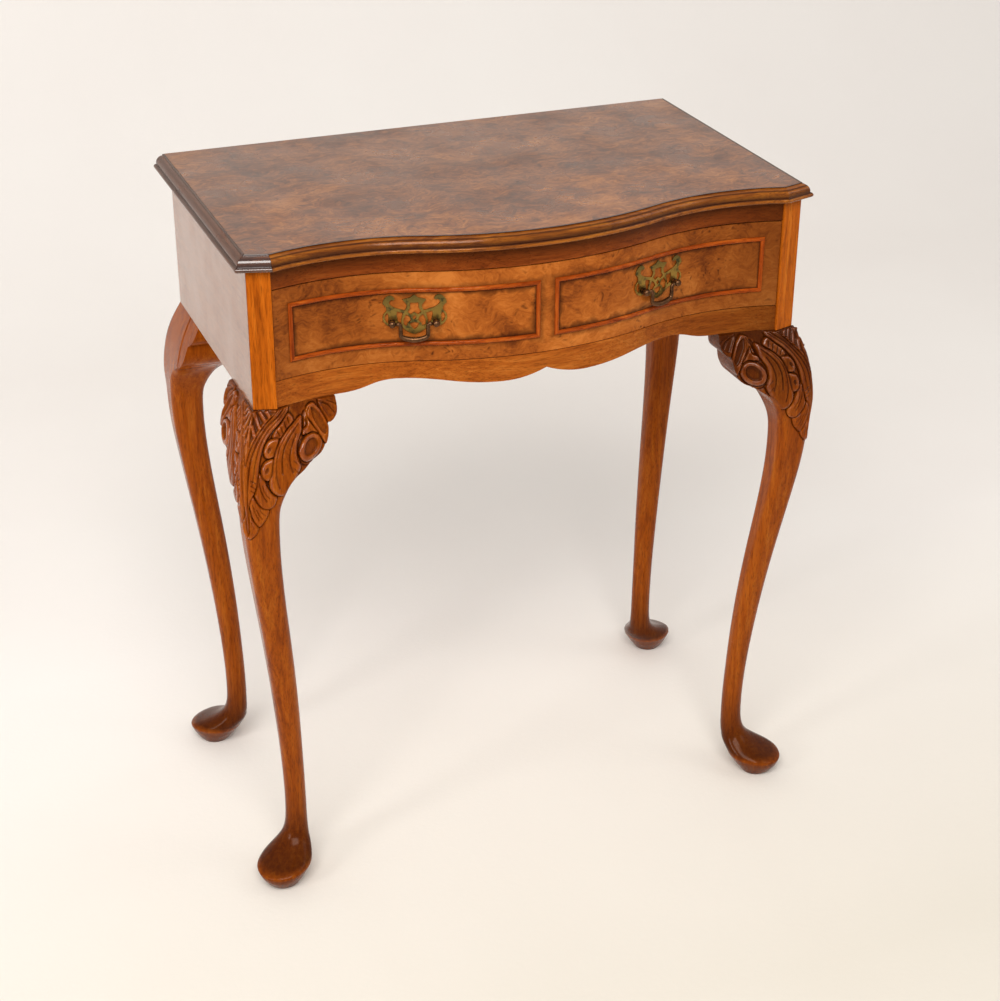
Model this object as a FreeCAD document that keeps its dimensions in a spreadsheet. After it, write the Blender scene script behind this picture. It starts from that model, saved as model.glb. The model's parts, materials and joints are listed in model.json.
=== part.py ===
import FreeCAD, Part
import math
import os
import Sketcher

# Serpentine side table in walnut: one long drawer, four cabriole legs on pad feet.
# Frame: +Z up, -Y is the front, the origin is on the floor under the middle of the top.
# Every right-hand piece is drawn; its left-hand twin is its mirror image.

doc = FreeCAD.newDocument("side_table")

# Driving dimensions in millimetres
DIMENSIONS = (
    ("table_height", 760, "floor to the face of the top"),
    ("top_depth", 386.5, "front of the moulded bow to the plain back edge"),
    ("top_thickness", 15.5, "board and moulding"),
    ("top_overhang", 11.5, "moulding beyond the case, front and sides"),
    ("back_overhang", 33, "top beyond the case at the back"),
    ("moulding_width", 13, "width of the edge moulding"),
    ("moulding_lip", 5, "height of the rounded lip"),
    ("moulding_step", 1.5, "small steps of the moulding"),
    ("case_width", 617.4, "across the side panels"),
    ("case_height", 149.5, "top of the legs to the underside of the top"),
    ("panel_thickness", 18, "sides and back"),
    ("bow_radius", 375, "middle curve of the front"),
    ("hollow_radius", 251, "hollow curves of the front"),
    ("hollow_spread", 212, "centre line to the deepest hollow"),
    ("stile_width", 23.6, "canted upright beside the drawer"),
    ("stile_proud", 3.1, "stile in front of the ends of the rails"),
    ("stile_depth", 36, "stile, front to back"),
    ("rail_height", 22.5, "rail above the drawer"),
    ("apron_height", 28.4, "rail below the drawer, at its ends"),
    ("apron_flat_end", 212, "centre line to where the apron starts to rise"),
    ("apron_arch_x", 155, "centre line to the top of the arch"),
    ("apron_arch_rise", 10, "height of the arch"),
    ("apron_lobe_x", 48, "centre line to the lobe"),
    ("apron_cusp_rise", 11, "height of the middle cusp"),
    ("runner_width", 30, "runners and kickers"),
    ("runner_thickness", 12, "runners"),
    ("drawer_gap", 1, "drawer front to its opening"),
    ("runner_gap", 0.3, "drawer to the runners and stops"),
    ("drawer_front_least", 20, "drawer front at the hollows"),
    ("drawer_side_thickness", 10, "drawer sides and back"),
    ("drawer_side_height", 90, "drawer sides"),
    ("drawer_lap", 12, "drawer sides let into the front"),
    ("drawer_bottom_thickness", 5, "drawer bottom"),
    ("groove_depth", 5, "groove for the drawer bottom"),
    ("stop_length", 12, "drawer stops, from the back panel"),
    ("bead_margin", 16.7, "bead frames from the edges of the drawer front"),
    ("bead_half_gap", 8, "bead frames from the centre line"),
    ("bead_width", 4.8, "beads"),
    ("bead_proud", 2.2, "height of the beads"),
    ("seat_gap", 0.3, "beads and plates to the drawer front"),
    ("handle_spread", 137, "centre line to each handle"),
    ("handle_rise", 44.2, "post line above the lower edge of the drawer front"),
    ("post_spacing", 45, "post to post"),
    ("post_radius", 2, "post shank"),
    ("post_wood", 18, "wood between the plate and the nut"),
    ("ball_radius", 3.8, "post heads"),
    ("ball_stand", 8.6, "post heads in front of the drawer"),
    ("pin_radius", 1.2, "bail pivots"),
    ("pin_gap", 0.3, "bail pivot to its hole"),
    ("bail_radius", 2, "bail rod"),
    ("bail_half_width", 14, "middle of the bail to its upright"),
    ("bail_drop", 17.5, "post line to the middle of the lowest rod"),
    ("bail_bend", 4, "bends at the bottom of the bail"),
    ("bail_sag_radius", 27, "curve of the lowest rod of the bail"),
    ("bail_shoulder", 2.6, "bends at the top of the bail"),
    ("plate_width", 66, "pierced plate"),
    ("plate_thickness", 1.4, "pierced plate"),
    ("leg_block", 56, "square of the top of the leg"),
    ("leg_back_stand", 4, "leg behind the back panel"),
    ("knee_stand", 21.6, "fullest point of the knee outside the top of the leg"),
    ("knee_drop", 87, "top of the leg to the fullest point of the knee"),
    ("knee_depth", 47.1, "thickness of the knee at its fullest point"),
    ("block_drop", 58, "top of the leg to the lower end of its square"),
    ("calf_drop", 125, "top of the leg to the calf"),
    ("calf_stand", 1.5, "middle of the calf outside the top corner of the leg"),
    ("calf_side", 37.2, "thickness of the calf"),
    ("ankle_height", 85, "floor to the slimmest point"),
    ("ankle_inset", 29, "middle of the ankle inside the top corner of the leg"),
    ("ankle_radius", 10.4, "ankle"),
    ("foot_rim_height", 15, "floor to the widest line of the pad foot"),
    ("foot_inset", 2.5, "middle of the foot inside the top corner of the leg"),
    ("foot_radius", 28, "pad foot"),
    ("sole_radius", 20.5, "flat under the pad foot"),
    ("ear_reach", 88, "top corner of the leg to the tip of the ear"),
    ("ear_notch_reach", 76.5, "top corner of the leg to the notch of the ear"),
    ("ear_notch_drop", 24.5, "top of the leg to that notch"),
    ("ear_scroll_radius", 31, "lower lobe of the ear"),
    ("ear_tip_radius", 18, "upper lobe of the ear"),
    ("ear_thickness", 33, "ear behind the face of the leg"),
    ("block_side", 52, "corner blocks"),
    ("dowel_radius", 6, "leg dowels"),
    ("dowel_depth", 30, "dowel in the leg"),
    ("dowel_inset", 11.5, "dowel inside the inner edges of the leg"),
    ("screw_radius", 2, "top screws"),
    ("screw_bite", 10, "screw in the top"),
    ("hole_gap", 0.1, "screws, posts and dowels to their holes"),
    ("cut_spare", 1, "cutters past the wood that they cut"),
)

# Places of the screws along a kicker, as shares of its length
SCREW_PLACES = (0.15, 0.5, 0.85)

# Swing of the leg between two sizes: share of the height, of the offset, of the width, and roundness
FOOT_SWING = ((0.17, 0.25, 0.20, 0.97), (0.43, 0.81, 0.80, 0.97))
SHANK_SWING = ((0.27, 0.13, 0.27, 0.9), (0.56, 0.48, 0.52, 0.75), (0.82, 0.86, 0.73, 0.58))
ROUND_FOOT = 0.97
ROUND_CALF = 0.52
ROUND_KNEE = (0.5, 0.42, 0.34)

# Row between the knee and the square: share of the drop, and of the depth
KNEE_STEP = (0.41, 0.38)

# Square of the leg: share of its drop, and roundness
BLOCK_STEPS = ((1.0, 0.26), (0.77, 0.22), (0.385, 0.17), (0.0, 0.13))

# Right half of the outline of the pierced plate, from the lower tip up, drawn 66 wide about the post line.
# Each point: across, up, and the radius of the curve to the next point (0 is straight, minus turns right).
PLATE_DRAWN_WIDTH = 66.0
PLATE_HALF = (
    (0, -13.8, 24), (11.6, -7, -9), (18.5, -3.6, 8), (26, -4.5, 12),
    (33, 4, 9), (29, 12, -7), (32.6, 20, 9), (26.2, 28.8, 5),
    (20.4, 25.6, 1.4), (21.5, 23.6, 0), (23.2, 24.2, -3.1), (24.6, 18.6, -14),
    (17.5, 14.5, 0), (9.8, 12, -8), (7.5, 18, 0), (12, 24, 0),
    (4, 25.8, 0), (0, 29, 0),
)

# Piercings of the plate: middle ones are drawn whole, side ones once and mirrored
PLATE_MIDDLE_HOLES = (
    ((-4.5, 20.5), (-4.6, 14.5), (-7.2, 10.6), (-3.8, 7.6), (0, 10), (3.8, 7.6), (7.2, 10.6), (4.6, 14.5),
     (4.5, 20.5)),
    ((-2.4, 4.4), (0, 1.6), (2.4, 4.4), (0, 7.4)),
    ((-5.2, -1.8), (-3, -6.2), (0, -8.8), (3, -6.2), (5.2, -1.8), (0, -0.6)),
)
PLATE_SIDE_HOLES = (
    ((5.2, 5.6), (3.4, 1.4), (7.2, -2.2), (7.8, -5), (11.2, -3.4), (11.6, 2), (8.8, 8)),
    ((13.4, 2.4), (13.8, -2.2), (17.2, 1.2), (18.6, 8), (18, 11.6), (11.6, 9.6)),
    ((26.8, 7.6), (27.2, -1.2), (29.4, 0.4), (31, 4), (31, 7.2), (29, 10.2), (27.6, 10)),
)


class Size:
    """A length that keeps its number and the expression that gives it."""

    def __init__(self, value, text):
        self.value = float(value)
        self.text = text

    def join(self, other, sign, value):
        return Size(value, "(%s %s %s)" % (self.text, sign, other.text))

    def __add__(self, other):
        other = as_size(other)
        return self.join(other, "+", self.value + other.value)

    def __sub__(self, other):
        other = as_size(other)
        return self.join(other, "-", self.value - other.value)

    def __rsub__(self, other):
        return as_size(other) - self

    def __mul__(self, other):
        other = as_size(other)
        return self.join(other, "*", self.value * other.value)

    def __truediv__(self, other):
        other = as_size(other)
        return self.join(other, "/", self.value / other.value)

    def __neg__(self):
        return self * -1

    __radd__ = __add__
    __rmul__ = __mul__


def as_size(thing):
    if isinstance(thing, Size):
        return thing
    return Size(thing, "(%r)" % float(thing))


def root(thing):
    return Size(math.sqrt(thing.value), "sqrt(%s)" % thing.text)


def arc_sine(thing):
    return Size(math.degrees(math.asin(thing.value)), "asin(%s)" % thing.text)


sheet = doc.addObject("Spreadsheet::Sheet", "Sizes")
for row, (alias, value, meaning) in enumerate(DIMENSIONS, 1):
    sheet.set("A%d" % row, meaning)
    sheet.set("B%d" % row, str(value))
    sheet.setAlias("B%d" % row, alias)
doc.recompute()


def size(alias):
    return Size(sheet.get(alias), "Sizes." + alias)


# Main lines of the case
half_case = size("case_width") / 2
inner_x = half_case - size("panel_thickness")
open_x = half_case - size("stile_width")
case_top = size("table_height") - size("top_thickness")
case_base = case_top - size("case_height")
case_back = size("top_depth") / 2 - size("back_overhang")
inner_back = case_back - size("panel_thickness")
bow_y = size("top_overhang") - size("top_depth") / 2
opening_base = case_base + size("apron_height")
opening_top = case_top - size("rail_height")

# The serpentine front: a bow between two hollows, three arcs that meet in line
bow_radius = size("bow_radius")
hollow_radius = size("hollow_radius")
hollow_x = size("hollow_spread")
bow_centre_y = bow_y + bow_radius
centre_step = root((bow_radius + hollow_radius) * (bow_radius + hollow_radius) - hollow_x * hollow_x)
hollow_centre_y = bow_centre_y - centre_step


def hollow_y(x, offset=0):
    """The hollow curve of the front at x, a parallel offset in front of the case."""
    reach = hollow_radius - offset
    across = x - hollow_x
    return hollow_centre_y + root(reach * reach - across * across)


def bow_curve_y(x, offset=0):
    """The bow curve of the front at x, a parallel offset in front of the case."""
    reach = bow_radius + offset
    return bow_centre_y - root(reach * reach - x * x)


def join_point(offset=0):
    """Where the bow meets the right hollow."""
    share = (bow_radius + offset) / (bow_radius + hollow_radius)
    return hollow_x * share, bow_centre_y - centre_step * share


def front_curve(end_x, offset=0):
    """Outline points of the front from the left end to the right end."""
    hollow = -(hollow_radius - offset)
    bow = bow_radius + offset
    x, y = join_point(offset)
    last_y = hollow_y(end_x, offset)
    return [(-end_x, last_y, hollow), (-x, y, bow), (x, y, hollow), (end_x, last_y, 0)]


end_y = hollow_y(open_x)
end_across = open_x - hollow_x
end_along = root(hollow_radius * hollow_radius - end_across * end_across)
cant_slope = end_across / end_along
cant_length = hollow_radius / end_along
stile_inner_y = end_y - size("stile_proud")
stile_outer_y = stile_inner_y + size("stile_width") * cant_slope
stile_back_y = stile_inner_y + size("stile_depth")
drawer_face_back = hollow_centre_y + hollow_radius + size("drawer_front_least")


def new_body(label):
    body = doc.addObject("PartDesign::Body", label)
    body.Label = label
    return body


def bind(thing, prop, value):
    thing.setExpression(prop, as_size(value).text)


def place(thing, x=0, y=0, z=0, turn=0):
    """Stand a piece at a point, turned about the vertical."""
    turn = as_size(turn)
    point = [as_size(value) for value in (x, y, z)]
    way = -1 if turn.value < 0 else 1
    thing.Placement = FreeCAD.Placement(
        FreeCAD.Vector(*[value.value for value in point]),
        FreeCAD.Rotation(FreeCAD.Vector(0, 0, way), turn.value * way))
    for axis, value in zip("xyz", point):
        bind(thing, "Placement.Base." + axis, value)
    if turn.value:
        bind(thing, "Placement.Rotation.Angle", turn * way)


def plane_of(body, role):
    return next(item for item in body.Origin.OriginFeatures if item.Role == role)


def new_sketch(body, role, name, x=0, y=0, level=0):
    """A sketch parallel to one of the planes of its body, moved by sizes."""
    sketch = body.newObject("Sketcher::SketchObject", name)
    sketch.AttachmentSupport = [(plane_of(body, role), "")]
    sketch.MapMode = "FlatFace"
    moves = [as_size(value) for value in (x, y, level)]
    sketch.AttachmentOffset = FreeCAD.Placement(
        FreeCAD.Vector(*[value.value for value in moves]), FreeCAD.Rotation())
    for axis, value in zip("xyz", moves):
        if value.value:
            bind(sketch, "AttachmentOffset.Base." + axis, value)
    return sketch


def arc_between(start, end, radius):
    """The shorter arc from start to end; a plus radius turns left on the way."""
    chord = end - start
    half = chord.Length / 2
    sag = abs(radius) - math.sqrt(max(radius * radius - half * half, 0))
    right = FreeCAD.Vector(chord.y, -chord.x, 0).normalize()
    middle = (start + end) * 0.5 + right * math.copysign(sag, radius)
    return Part.Arc(start, middle, end)


def hold(sketch, rules):
    """Add rules to a sketch; each is a constraint and the expression that drives it."""
    first = sketch.ConstraintCount
    sketch.addConstraint([rule for rule, _ in rules])
    for index, (_, text) in enumerate(rules, first):
        if text:
            sketch.setExpression("Constraints[%d]" % index, text)


def hold_point(edge, end, x, y):
    return [(Sketcher.Constraint("DistanceX", -1, 1, edge, end, x.value), x.text),
            (Sketcher.Constraint("DistanceY", -1, 1, edge, end, y.value), y.text)]


def draw(sketch, points, closed=True):
    """Draw an outline of lines and arcs and bind every point and radius."""
    points = [[as_size(value) for value in (tuple(point) + (0,))[:3]] for point in points]
    spots = [FreeCAD.Vector(x.value, y.value, 0) for x, y, _ in points]
    count = len(points)
    edges = []
    for index in range(count if closed else count - 1):
        start = spots[index]
        end = spots[(index + 1) % count]
        radius = points[index][2].value
        shape = arc_between(start, end, radius) if radius else Part.LineSegment(start, end)
        edge = sketch.addGeometry(shape, False)
        forward = (sketch.getPoint(edge, 1) - start).Length < (sketch.getPoint(edge, 2) - start).Length
        edges.append((edge, 1, 2) if forward else (edge, 2, 1))
    rules = []
    for index, (edge, first, last) in enumerate(edges):
        x, y, radius = points[index]
        rules += hold_point(edge, first, x, y)
        if radius.value:
            reach = radius if radius.value > 0 else -radius
            rules.append((Sketcher.Constraint("Radius", edge, reach.value), reach.text))
        if closed or index + 1 < len(edges):
            after = edges[(index + 1) % len(edges)]
            rules.append((Sketcher.Constraint("Coincident", edge, last, after[0], after[1]), None))
        else:
            rules += hold_point(edge, last, points[-1][0], points[-1][1])
    hold(sketch, rules)


def draw_circle(sketch, x, y, radius):
    x, y, radius = as_size(x), as_size(y), as_size(radius)
    centre = FreeCAD.Vector(x.value, y.value, 0)
    edge = sketch.addGeometry(Part.Circle(centre, FreeCAD.Vector(0, 0, 1), radius.value), False)
    hold(sketch, hold_point(edge, 3, x, y) + [(Sketcher.Constraint("Radius", edge, radius.value), radius.text)])


def pad(body, sketch, length, name, turned=False):
    feature = body.newObject("PartDesign::Pad", name)
    feature.Profile = sketch
    feature.Reversed = turned
    bind(feature, "Length", length)
    return feature


def pocket(body, sketch, name, length=None, turned=False):
    """Cut a sketch out of the body; with no length, right through both ways."""
    doc.recompute()
    before = body.Shape.Volume
    feature = body.newObject("PartDesign::Pocket", name)
    feature.Profile = sketch
    if length is None:
        feature.Type = "ThroughAll"
        feature.SideType = "Symmetric"
    else:
        bind(feature, "Length", length)
        feature.Reversed = turned
    doc.recompute()
    if not body.Shape.Volume < before:
        raise RuntimeError("%s cuts nothing" % name)
    return feature


def outline_pad(label, points, base, top):
    """A piece with a plan outline, from one level to another."""
    body = new_body(label)
    sketch = new_sketch(body, "XY_Plane", label + "_plan", level=base)
    draw(sketch, points)
    pad(body, sketch, as_size(top) - base, label + "_pad")
    return body


def sweep(body, section, spine, name):
    feature = body.newObject("PartDesign::AdditivePipe", name)
    feature.Profile = section
    feature.Spine = spine
    return feature


def loft(body, sections, name, ruled=False):
    feature = body.newObject("PartDesign::AdditiveLoft", name)
    feature.Profile = sections[0]
    feature.Sections = sections[1:]
    feature.Ruled = ruled
    return feature


def turning(label, points):
    """A turned piece about the local Y axis; points are radius and distance along it."""
    body = new_body(label)
    sketch = new_sketch(body, "XY_Plane", label + "_profile")
    draw(sketch, points)
    feature = body.newObject("PartDesign::Revolution", label + "_turning")
    feature.Profile = sketch
    feature.ReferenceAxis = (sketch, ["V_Axis"])
    feature.Angle = 360
    return body


def new_box(label, x, y, z):
    """A straight piece; x, y and z are pairs of faces."""
    box = doc.addObject("Part::Box", label)
    box.Label = label
    for prop, (low, high) in zip(("Length", "Width", "Height"), (x, y, z)):
        bind(box, prop, as_size(high) - low)
    place(box, x[0], y[0], z[0])
    return box


def new_cylinder(name, radius, length, at, z):
    cylinder = doc.addObject("Part::Cylinder", name)
    bind(cylinder, "Radius", radius)
    bind(cylinder, "Height", length)
    place(cylinder, at[0], at[1], z)
    return cylinder


def new_group(label, members):
    group = doc.addObject("Part::Compound", label)
    group.Label = label
    group.Links = members
    return group


def join_up(label, members):
    fuse = doc.addObject("Part::MultiFuse", label)
    fuse.Shapes = members
    return fuse


def cut_out(label, base, tools):
    """Take a group of tools out of a piece."""
    cut = doc.addObject("Part::Cut", label)
    cut.Label = label
    cut.Base = base
    cut.Tool = new_group(label + "_waste", tools)
    doc.recompute()
    if not cut.Shape.Volume < base.Shape.Volume:
        raise RuntimeError("%s is not cut" % label)
    return cut


def left_twin(piece):
    """The mirror image of a right-hand piece."""
    label = piece.Label.replace("right", "left")
    twin = doc.addObject("Part::Mirroring", label)
    twin.Label = label
    twin.Source = piece
    twin.Normal = FreeCAD.Vector(1, 0, 0)
    return twin


pieces = []
right_pieces = []

# Case: sides, stiles, back and rails. The side laps over the stile with a short mitre at the front.
lap = size("panel_thickness") * 0.55
lap_x = half_case - lap
lap_y = stile_outer_y + lap
side_plan = [(half_case, case_back), (inner_x, case_back), (inner_x, stile_back_y), (lap_x, stile_back_y),
             (lap_x, lap_y), (half_case, stile_outer_y)]
stile_plan = [(half_case, stile_outer_y), (lap_x, lap_y), (lap_x, stile_back_y), (open_x, stile_back_y),
              (open_x, stile_inner_y)]
right_pieces.append(outline_pad("side_panel_right", side_plan, case_base, case_top))
right_pieces.append(outline_pad("corner_stile_right", stile_plan, case_base, case_top))
pieces.append(new_box("back_panel", (-inner_x, inner_x), (inner_back, case_back), (case_base, case_top)))

rail_plan = front_curve(open_x) + [(open_x, stile_back_y), (-open_x, stile_back_y)]
pieces.append(outline_pad("top_rail", rail_plan, opening_top, case_top))
apron = outline_pad("apron", rail_plan, case_base, opening_base)
pieces.append(apron)


def ogee(start, end):
    """Middle point and radius of an S-curve of two arcs, level at both ends."""
    run = start[0] - end[0]
    rise = start[1] - end[1]
    reach = (run * run + rise * rise) / (4 * rise)
    return ((start[0] + end[0]) / 2, (start[1] + end[1]) / 2), reach


flat_x = size("apron_flat_end")
arch = (size("apron_arch_x"), case_base + size("apron_arch_rise"))
lobe_rise = size("apron_arch_rise") * 0.1
lobe = (size("apron_lobe_x"), case_base + lobe_rise)
rise_middle, rise_radius = ogee(arch, (flat_x, case_base))
fall_middle, fall_radius = ogee(arch, lobe)
cusp_rise = size("apron_cusp_rise") - lobe_rise
cusp_radius = (lobe[0] * lobe[0] + cusp_rise * cusp_rise) / (2 * cusp_rise)
below_z = case_base - size("apron_arch_rise")
lower_edge = [
    (flat_x, case_base, -rise_radius), rise_middle + (rise_radius,), arch + (fall_radius,),
    fall_middle + (-fall_radius,), lobe + (-cusp_radius,),
    (0, case_base + size("apron_cusp_rise"), -cusp_radius),
    (-lobe[0], lobe[1], -fall_radius), (-fall_middle[0], fall_middle[1], fall_radius),
    (-arch[0], arch[1], rise_radius), (-rise_middle[0], rise_middle[1], -rise_radius),
    (-flat_x, case_base), (-flat_x, below_z), (flat_x, below_z)]
lower_sketch = new_sketch(apron, "XZ_Plane", "apron_lower_edge")
draw(lower_sketch, lower_edge)
pocket(apron, lower_sketch, "apron_shaping")

# Inside the case: runners, guides, stops, and kickers with their screws
run_y = (stile_back_y, inner_back)
run_length = inner_back - stile_back_y
runner_x = inner_x - size("runner_width")
guide_top = opening_base + size("runner_thickness") * 1.5
stop_top = guide_top + size("drawer_side_height") * 0.45
stop_x = open_x - size("drawer_side_thickness") * 2
hole_gap = size("hole_gap")
right_pieces.append(new_box("drawer_runner_right", (runner_x, inner_x), run_y,
                            (opening_base - size("runner_thickness"), opening_base)))
right_pieces.append(new_box("drawer_guide_right", (open_x, inner_x), run_y, (opening_base, guide_top)))
right_pieces.append(new_box("drawer_stop_right", (stop_x, open_x),
                            (inner_back - size("stop_length"), inner_back), (guide_top, stop_top)))
kicker = new_box("kicker_blank", (runner_x, inner_x), run_y, (opening_top, case_top))
screw_radius = size("screw_radius")
head_radius = screw_radius * 2
head_height = screw_radius * 1.5
seat_z = opening_top + head_height * 2
screw_reach = case_top - seat_z + size("screw_bite")
screw_ways = []
pilot_holes = []
screws = []
for index, share in enumerate(SCREW_PLACES):
    at = (inner_x - size("runner_width") / 2, stile_back_y + run_length * share)
    screw_ways.append(new_cylinder("screw_way_%d" % index, screw_radius + hole_gap, size("rail_height"), at,
                                   opening_top))
    screw_ways.append(new_cylinder("screw_recess_%d" % index, head_radius + hole_gap, head_height * 2, at,
                                   opening_top))
    pilot_holes.append(new_cylinder("pilot_hole_%d" % index, screw_radius + hole_gap, size("screw_bite"), at,
                                    case_top))
    shank = new_cylinder("screw_shank_%d" % index, screw_radius, screw_reach, at, seat_z)
    head = new_cylinder("screw_head_%d" % index, head_radius, head_height, at, seat_z - head_height)
    screws.append(join_up("screw_%d" % index, [shank, head]))
right_pieces.append(cut_out("kicker_right", kicker, screw_ways))
right_screws = new_group("screws_right", screws)
pieces.append(new_group("top_screws", [right_screws, left_twin(right_screws)]))

# Top: the board and its mitred mouldings
top_back = size("top_depth") / 2
overhang = size("top_overhang")
moulding_width = size("moulding_width")
board_offset = overhang - moulding_width


def cant_corner(offset):
    """Where the side line and the canted corner meet, a parallel offset outside the case."""
    x = half_case + offset
    return x, end_y - offset * cant_length + (x - open_x) * cant_slope


board_corner = cant_corner(board_offset)
rim_corner = cant_corner(overhang)
board_plan = front_curve(open_x, board_offset) + [
    board_corner, (board_corner[0], top_back), (-board_corner[0], top_back),
    (-board_corner[0], board_corner[1])]
board = outline_pad("top_board", board_plan, case_top, size("table_height"))
right_pilots = new_group("pilot_holes_right", pilot_holes)
pieces.append(cut_out("top_panel", board, [right_pilots, left_twin(right_pilots)]))


def moulding_profile(way):
    """Section of the edge moulding, up from the top of the case; way is the sign of the outward side."""
    step = size("moulding_step")
    lip = size("moulding_lip")
    height = size("top_thickness")
    fillet = moulding_width - 2 * step
    ovolo = height - lip - 2 * step
    points = [(0, 0, 0), (moulding_width - lip / 2, 0, lip / 2), (moulding_width, lip / 2, lip / 2),
              (moulding_width - lip / 2, lip, 0), (fillet, lip, 0), (fillet, lip + step, ovolo),
              (fillet - ovolo, lip + step + ovolo, 0), (fillet - ovolo, height, 0), (0, height, 0)]
    if way > 0:
        return points
    curves = [points[index - 1][2] for index in range(len(points))]
    flipped = [(-1 * x, y, curve) for (x, y, _), curve in zip(points, curves)]
    return flipped[::-1]


front_strip = new_body("top_moulding_front")
pieces.append(front_strip)
bow_front = bow_curve_y(as_size(0), board_offset)
join_x, join_y = join_point(board_offset)
spine = new_sketch(front_strip, "XY_Plane", "moulding_spine", level=case_top)
draw(spine, [(0, bow_front, bow_radius + board_offset), (join_x, join_y, board_offset - hollow_radius),
             (half_case, hollow_y(half_case, board_offset))], closed=False)
section = new_sketch(front_strip, "YZ_Plane", "moulding_section", x=bow_front, y=case_top)
draw(section, moulding_profile(-1))
moulding_sweep = sweep(front_strip, section, spine, "moulding_sweep")
trim = new_sketch(front_strip, "XY_Plane", "moulding_trim", level=case_top)
trim_x = half_case + 2 * moulding_width
draw(trim, [(open_x, bow_y * 2), (trim_x, bow_y * 2), (trim_x, 0), (open_x, 0)])
moulding_end = pocket(front_strip, trim, "moulding_end")
left_half = front_strip.newObject("PartDesign::Mirrored", "moulding_left_half")
left_half.Originals = [moulding_sweep, moulding_end]
left_half.MirrorPlane = (plane_of(front_strip, "YZ_Plane"), [""])
front_strip.Tip = left_half

side_strip = new_body("top_moulding_right")
right_pieces.append(side_strip)
section = new_sketch(side_strip, "XZ_Plane", "side_section", x=board_corner[0], y=case_top, level=-top_back)
draw(section, moulding_profile(1))
pad(side_strip, section, top_back - rim_corner[1] + moulding_width, "side_length")
mitre = new_sketch(side_strip, "XY_Plane", "side_mitre", level=case_top)
beyond_y = rim_corner[1] - 2 * moulding_width
draw(mitre, [board_corner, (board_corner[0], beyond_y), (rim_corner[0] + moulding_width, beyond_y),
             (rim_corner[0] + moulding_width, 2 * rim_corner[1] - board_corner[1]), rim_corner])
pocket(side_strip, mitre, "side_mitring")

# The corner strip is drawn along its own line and turned to the cant
corner_y = hollow_y(open_x, board_offset)


def along_cant(point):
    """A plan point measured along the canted corner and in front of it."""
    across = point[0] - open_x
    back = point[1] - corner_y
    return (across + back * cant_slope) / cant_length, (back - across * cant_slope) / cant_length


corner_strip = new_body("top_moulding_corner_right")
right_pieces.append(corner_strip)
place(corner_strip, open_x, corner_y, 0, arc_sine(end_across / hollow_radius))
section = new_sketch(corner_strip, "YZ_Plane", "corner_section", y=case_top, level=-moulding_width)
draw(section, moulding_profile(-1))
far_inner = along_cant(board_corner)
far_outer = along_cant(rim_corner)
near_outer = along_cant((open_x, hollow_y(open_x, overhang)))
pad(corner_strip, section, far_outer[0] + 2 * moulding_width, "corner_length")
mitre = new_sketch(corner_strip, "XY_Plane", "corner_mitres", level=case_top)
ahead = -2 * moulding_width
draw(mitre, [far_inner, far_outer, (far_outer[0], ahead), (far_outer[0] + 2 * moulding_width, ahead),
             (far_outer[0] + 2 * moulding_width, moulding_width), (far_inner[0], moulding_width)])
draw(mitre, [(0, 0), (0, moulding_width), (ahead, moulding_width), (ahead, ahead), (near_outer[0], ahead),
             near_outer])
pocket(corner_strip, mitre, "corner_mitring")

# Legs: cabriole swing from the pad foot to the knee, square where the case stands on it.
# Local axes: the top corner of a front right leg is the origin, the case lies at -X and +Y.
knee_stand = size("knee_stand")
knee_drop = size("knee_drop")
block_drop = size("block_drop")
leg_block = size("leg_block")
knee_radius = (knee_drop * knee_drop + knee_stand * knee_stand) / (2 * knee_stand)


def knee_face(drop):
    """How far the knee stands outside the top corner of the leg."""
    rise = knee_drop - drop
    return knee_stand - knee_radius + root(knee_radius * knee_radius - rise * rise)


def leg_stations():
    """Height, outward offset of the middle, half thickness and roundness, from the floor up."""
    foot = (size("foot_rim_height"), -size("foot_inset"), size("foot_radius"))
    ankle = (size("ankle_height"), -size("ankle_inset"), size("ankle_radius"))
    calf = (case_base - size("calf_drop"), size("calf_stand"), size("calf_side") / 2)
    stations = [(as_size(0), -size("foot_inset") * 0.4, size("sole_radius"), ROUND_FOOT), foot + (ROUND_FOOT,)]
    for low, high, swing in ((foot, ankle, FOOT_SWING), (ankle, calf, SHANK_SWING)):
        for share_z, share_offset, share_width, roundness in swing:
            shares = (share_z, share_offset, share_width)
            middle = tuple(a + (b - a) * share for a, b, share in zip(low, high, shares))
            stations.append(middle + (roundness,))
        stations.append(high + (ROUND_FOOT if high is ankle else ROUND_CALF,))
    calf_inner = calf[2] - calf[1]
    knee_inner = size("knee_depth") - knee_stand
    rows = [((size("calf_drop") + knee_drop) / 2, calf_inner + (knee_inner - calf_inner) * 0.1, ROUND_KNEE[0]),
            (knee_drop, knee_inner, ROUND_KNEE[1]),
            (block_drop + (knee_drop - block_drop) * KNEE_STEP[0],
             knee_inner + (leg_block - knee_inner) * KNEE_STEP[1], ROUND_KNEE[2])]
    rows += [(block_drop * share, leg_block * 1.02, roundness) for share, roundness in BLOCK_STEPS]
    for drop, inner, roundness in rows:
        outer = knee_face(drop)
        stations.append((case_base - drop, (outer - inner) / 2, (outer + inner) / 2, roundness))
    return stations


def rounded_square(sketch, x, y, half, roundness):
    corner = half * roundness
    straight = half - corner
    draw(sketch, [(x - straight, y - half), (x + straight, y - half, corner), (x + half, y - straight),
                  (x + half, y + straight, corner), (x + straight, y + half), (x - straight, y + half, corner),
                  (x - half, y + straight), (x - half, y - straight, corner)])


dowel_at = leg_block - size("dowel_inset")


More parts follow.
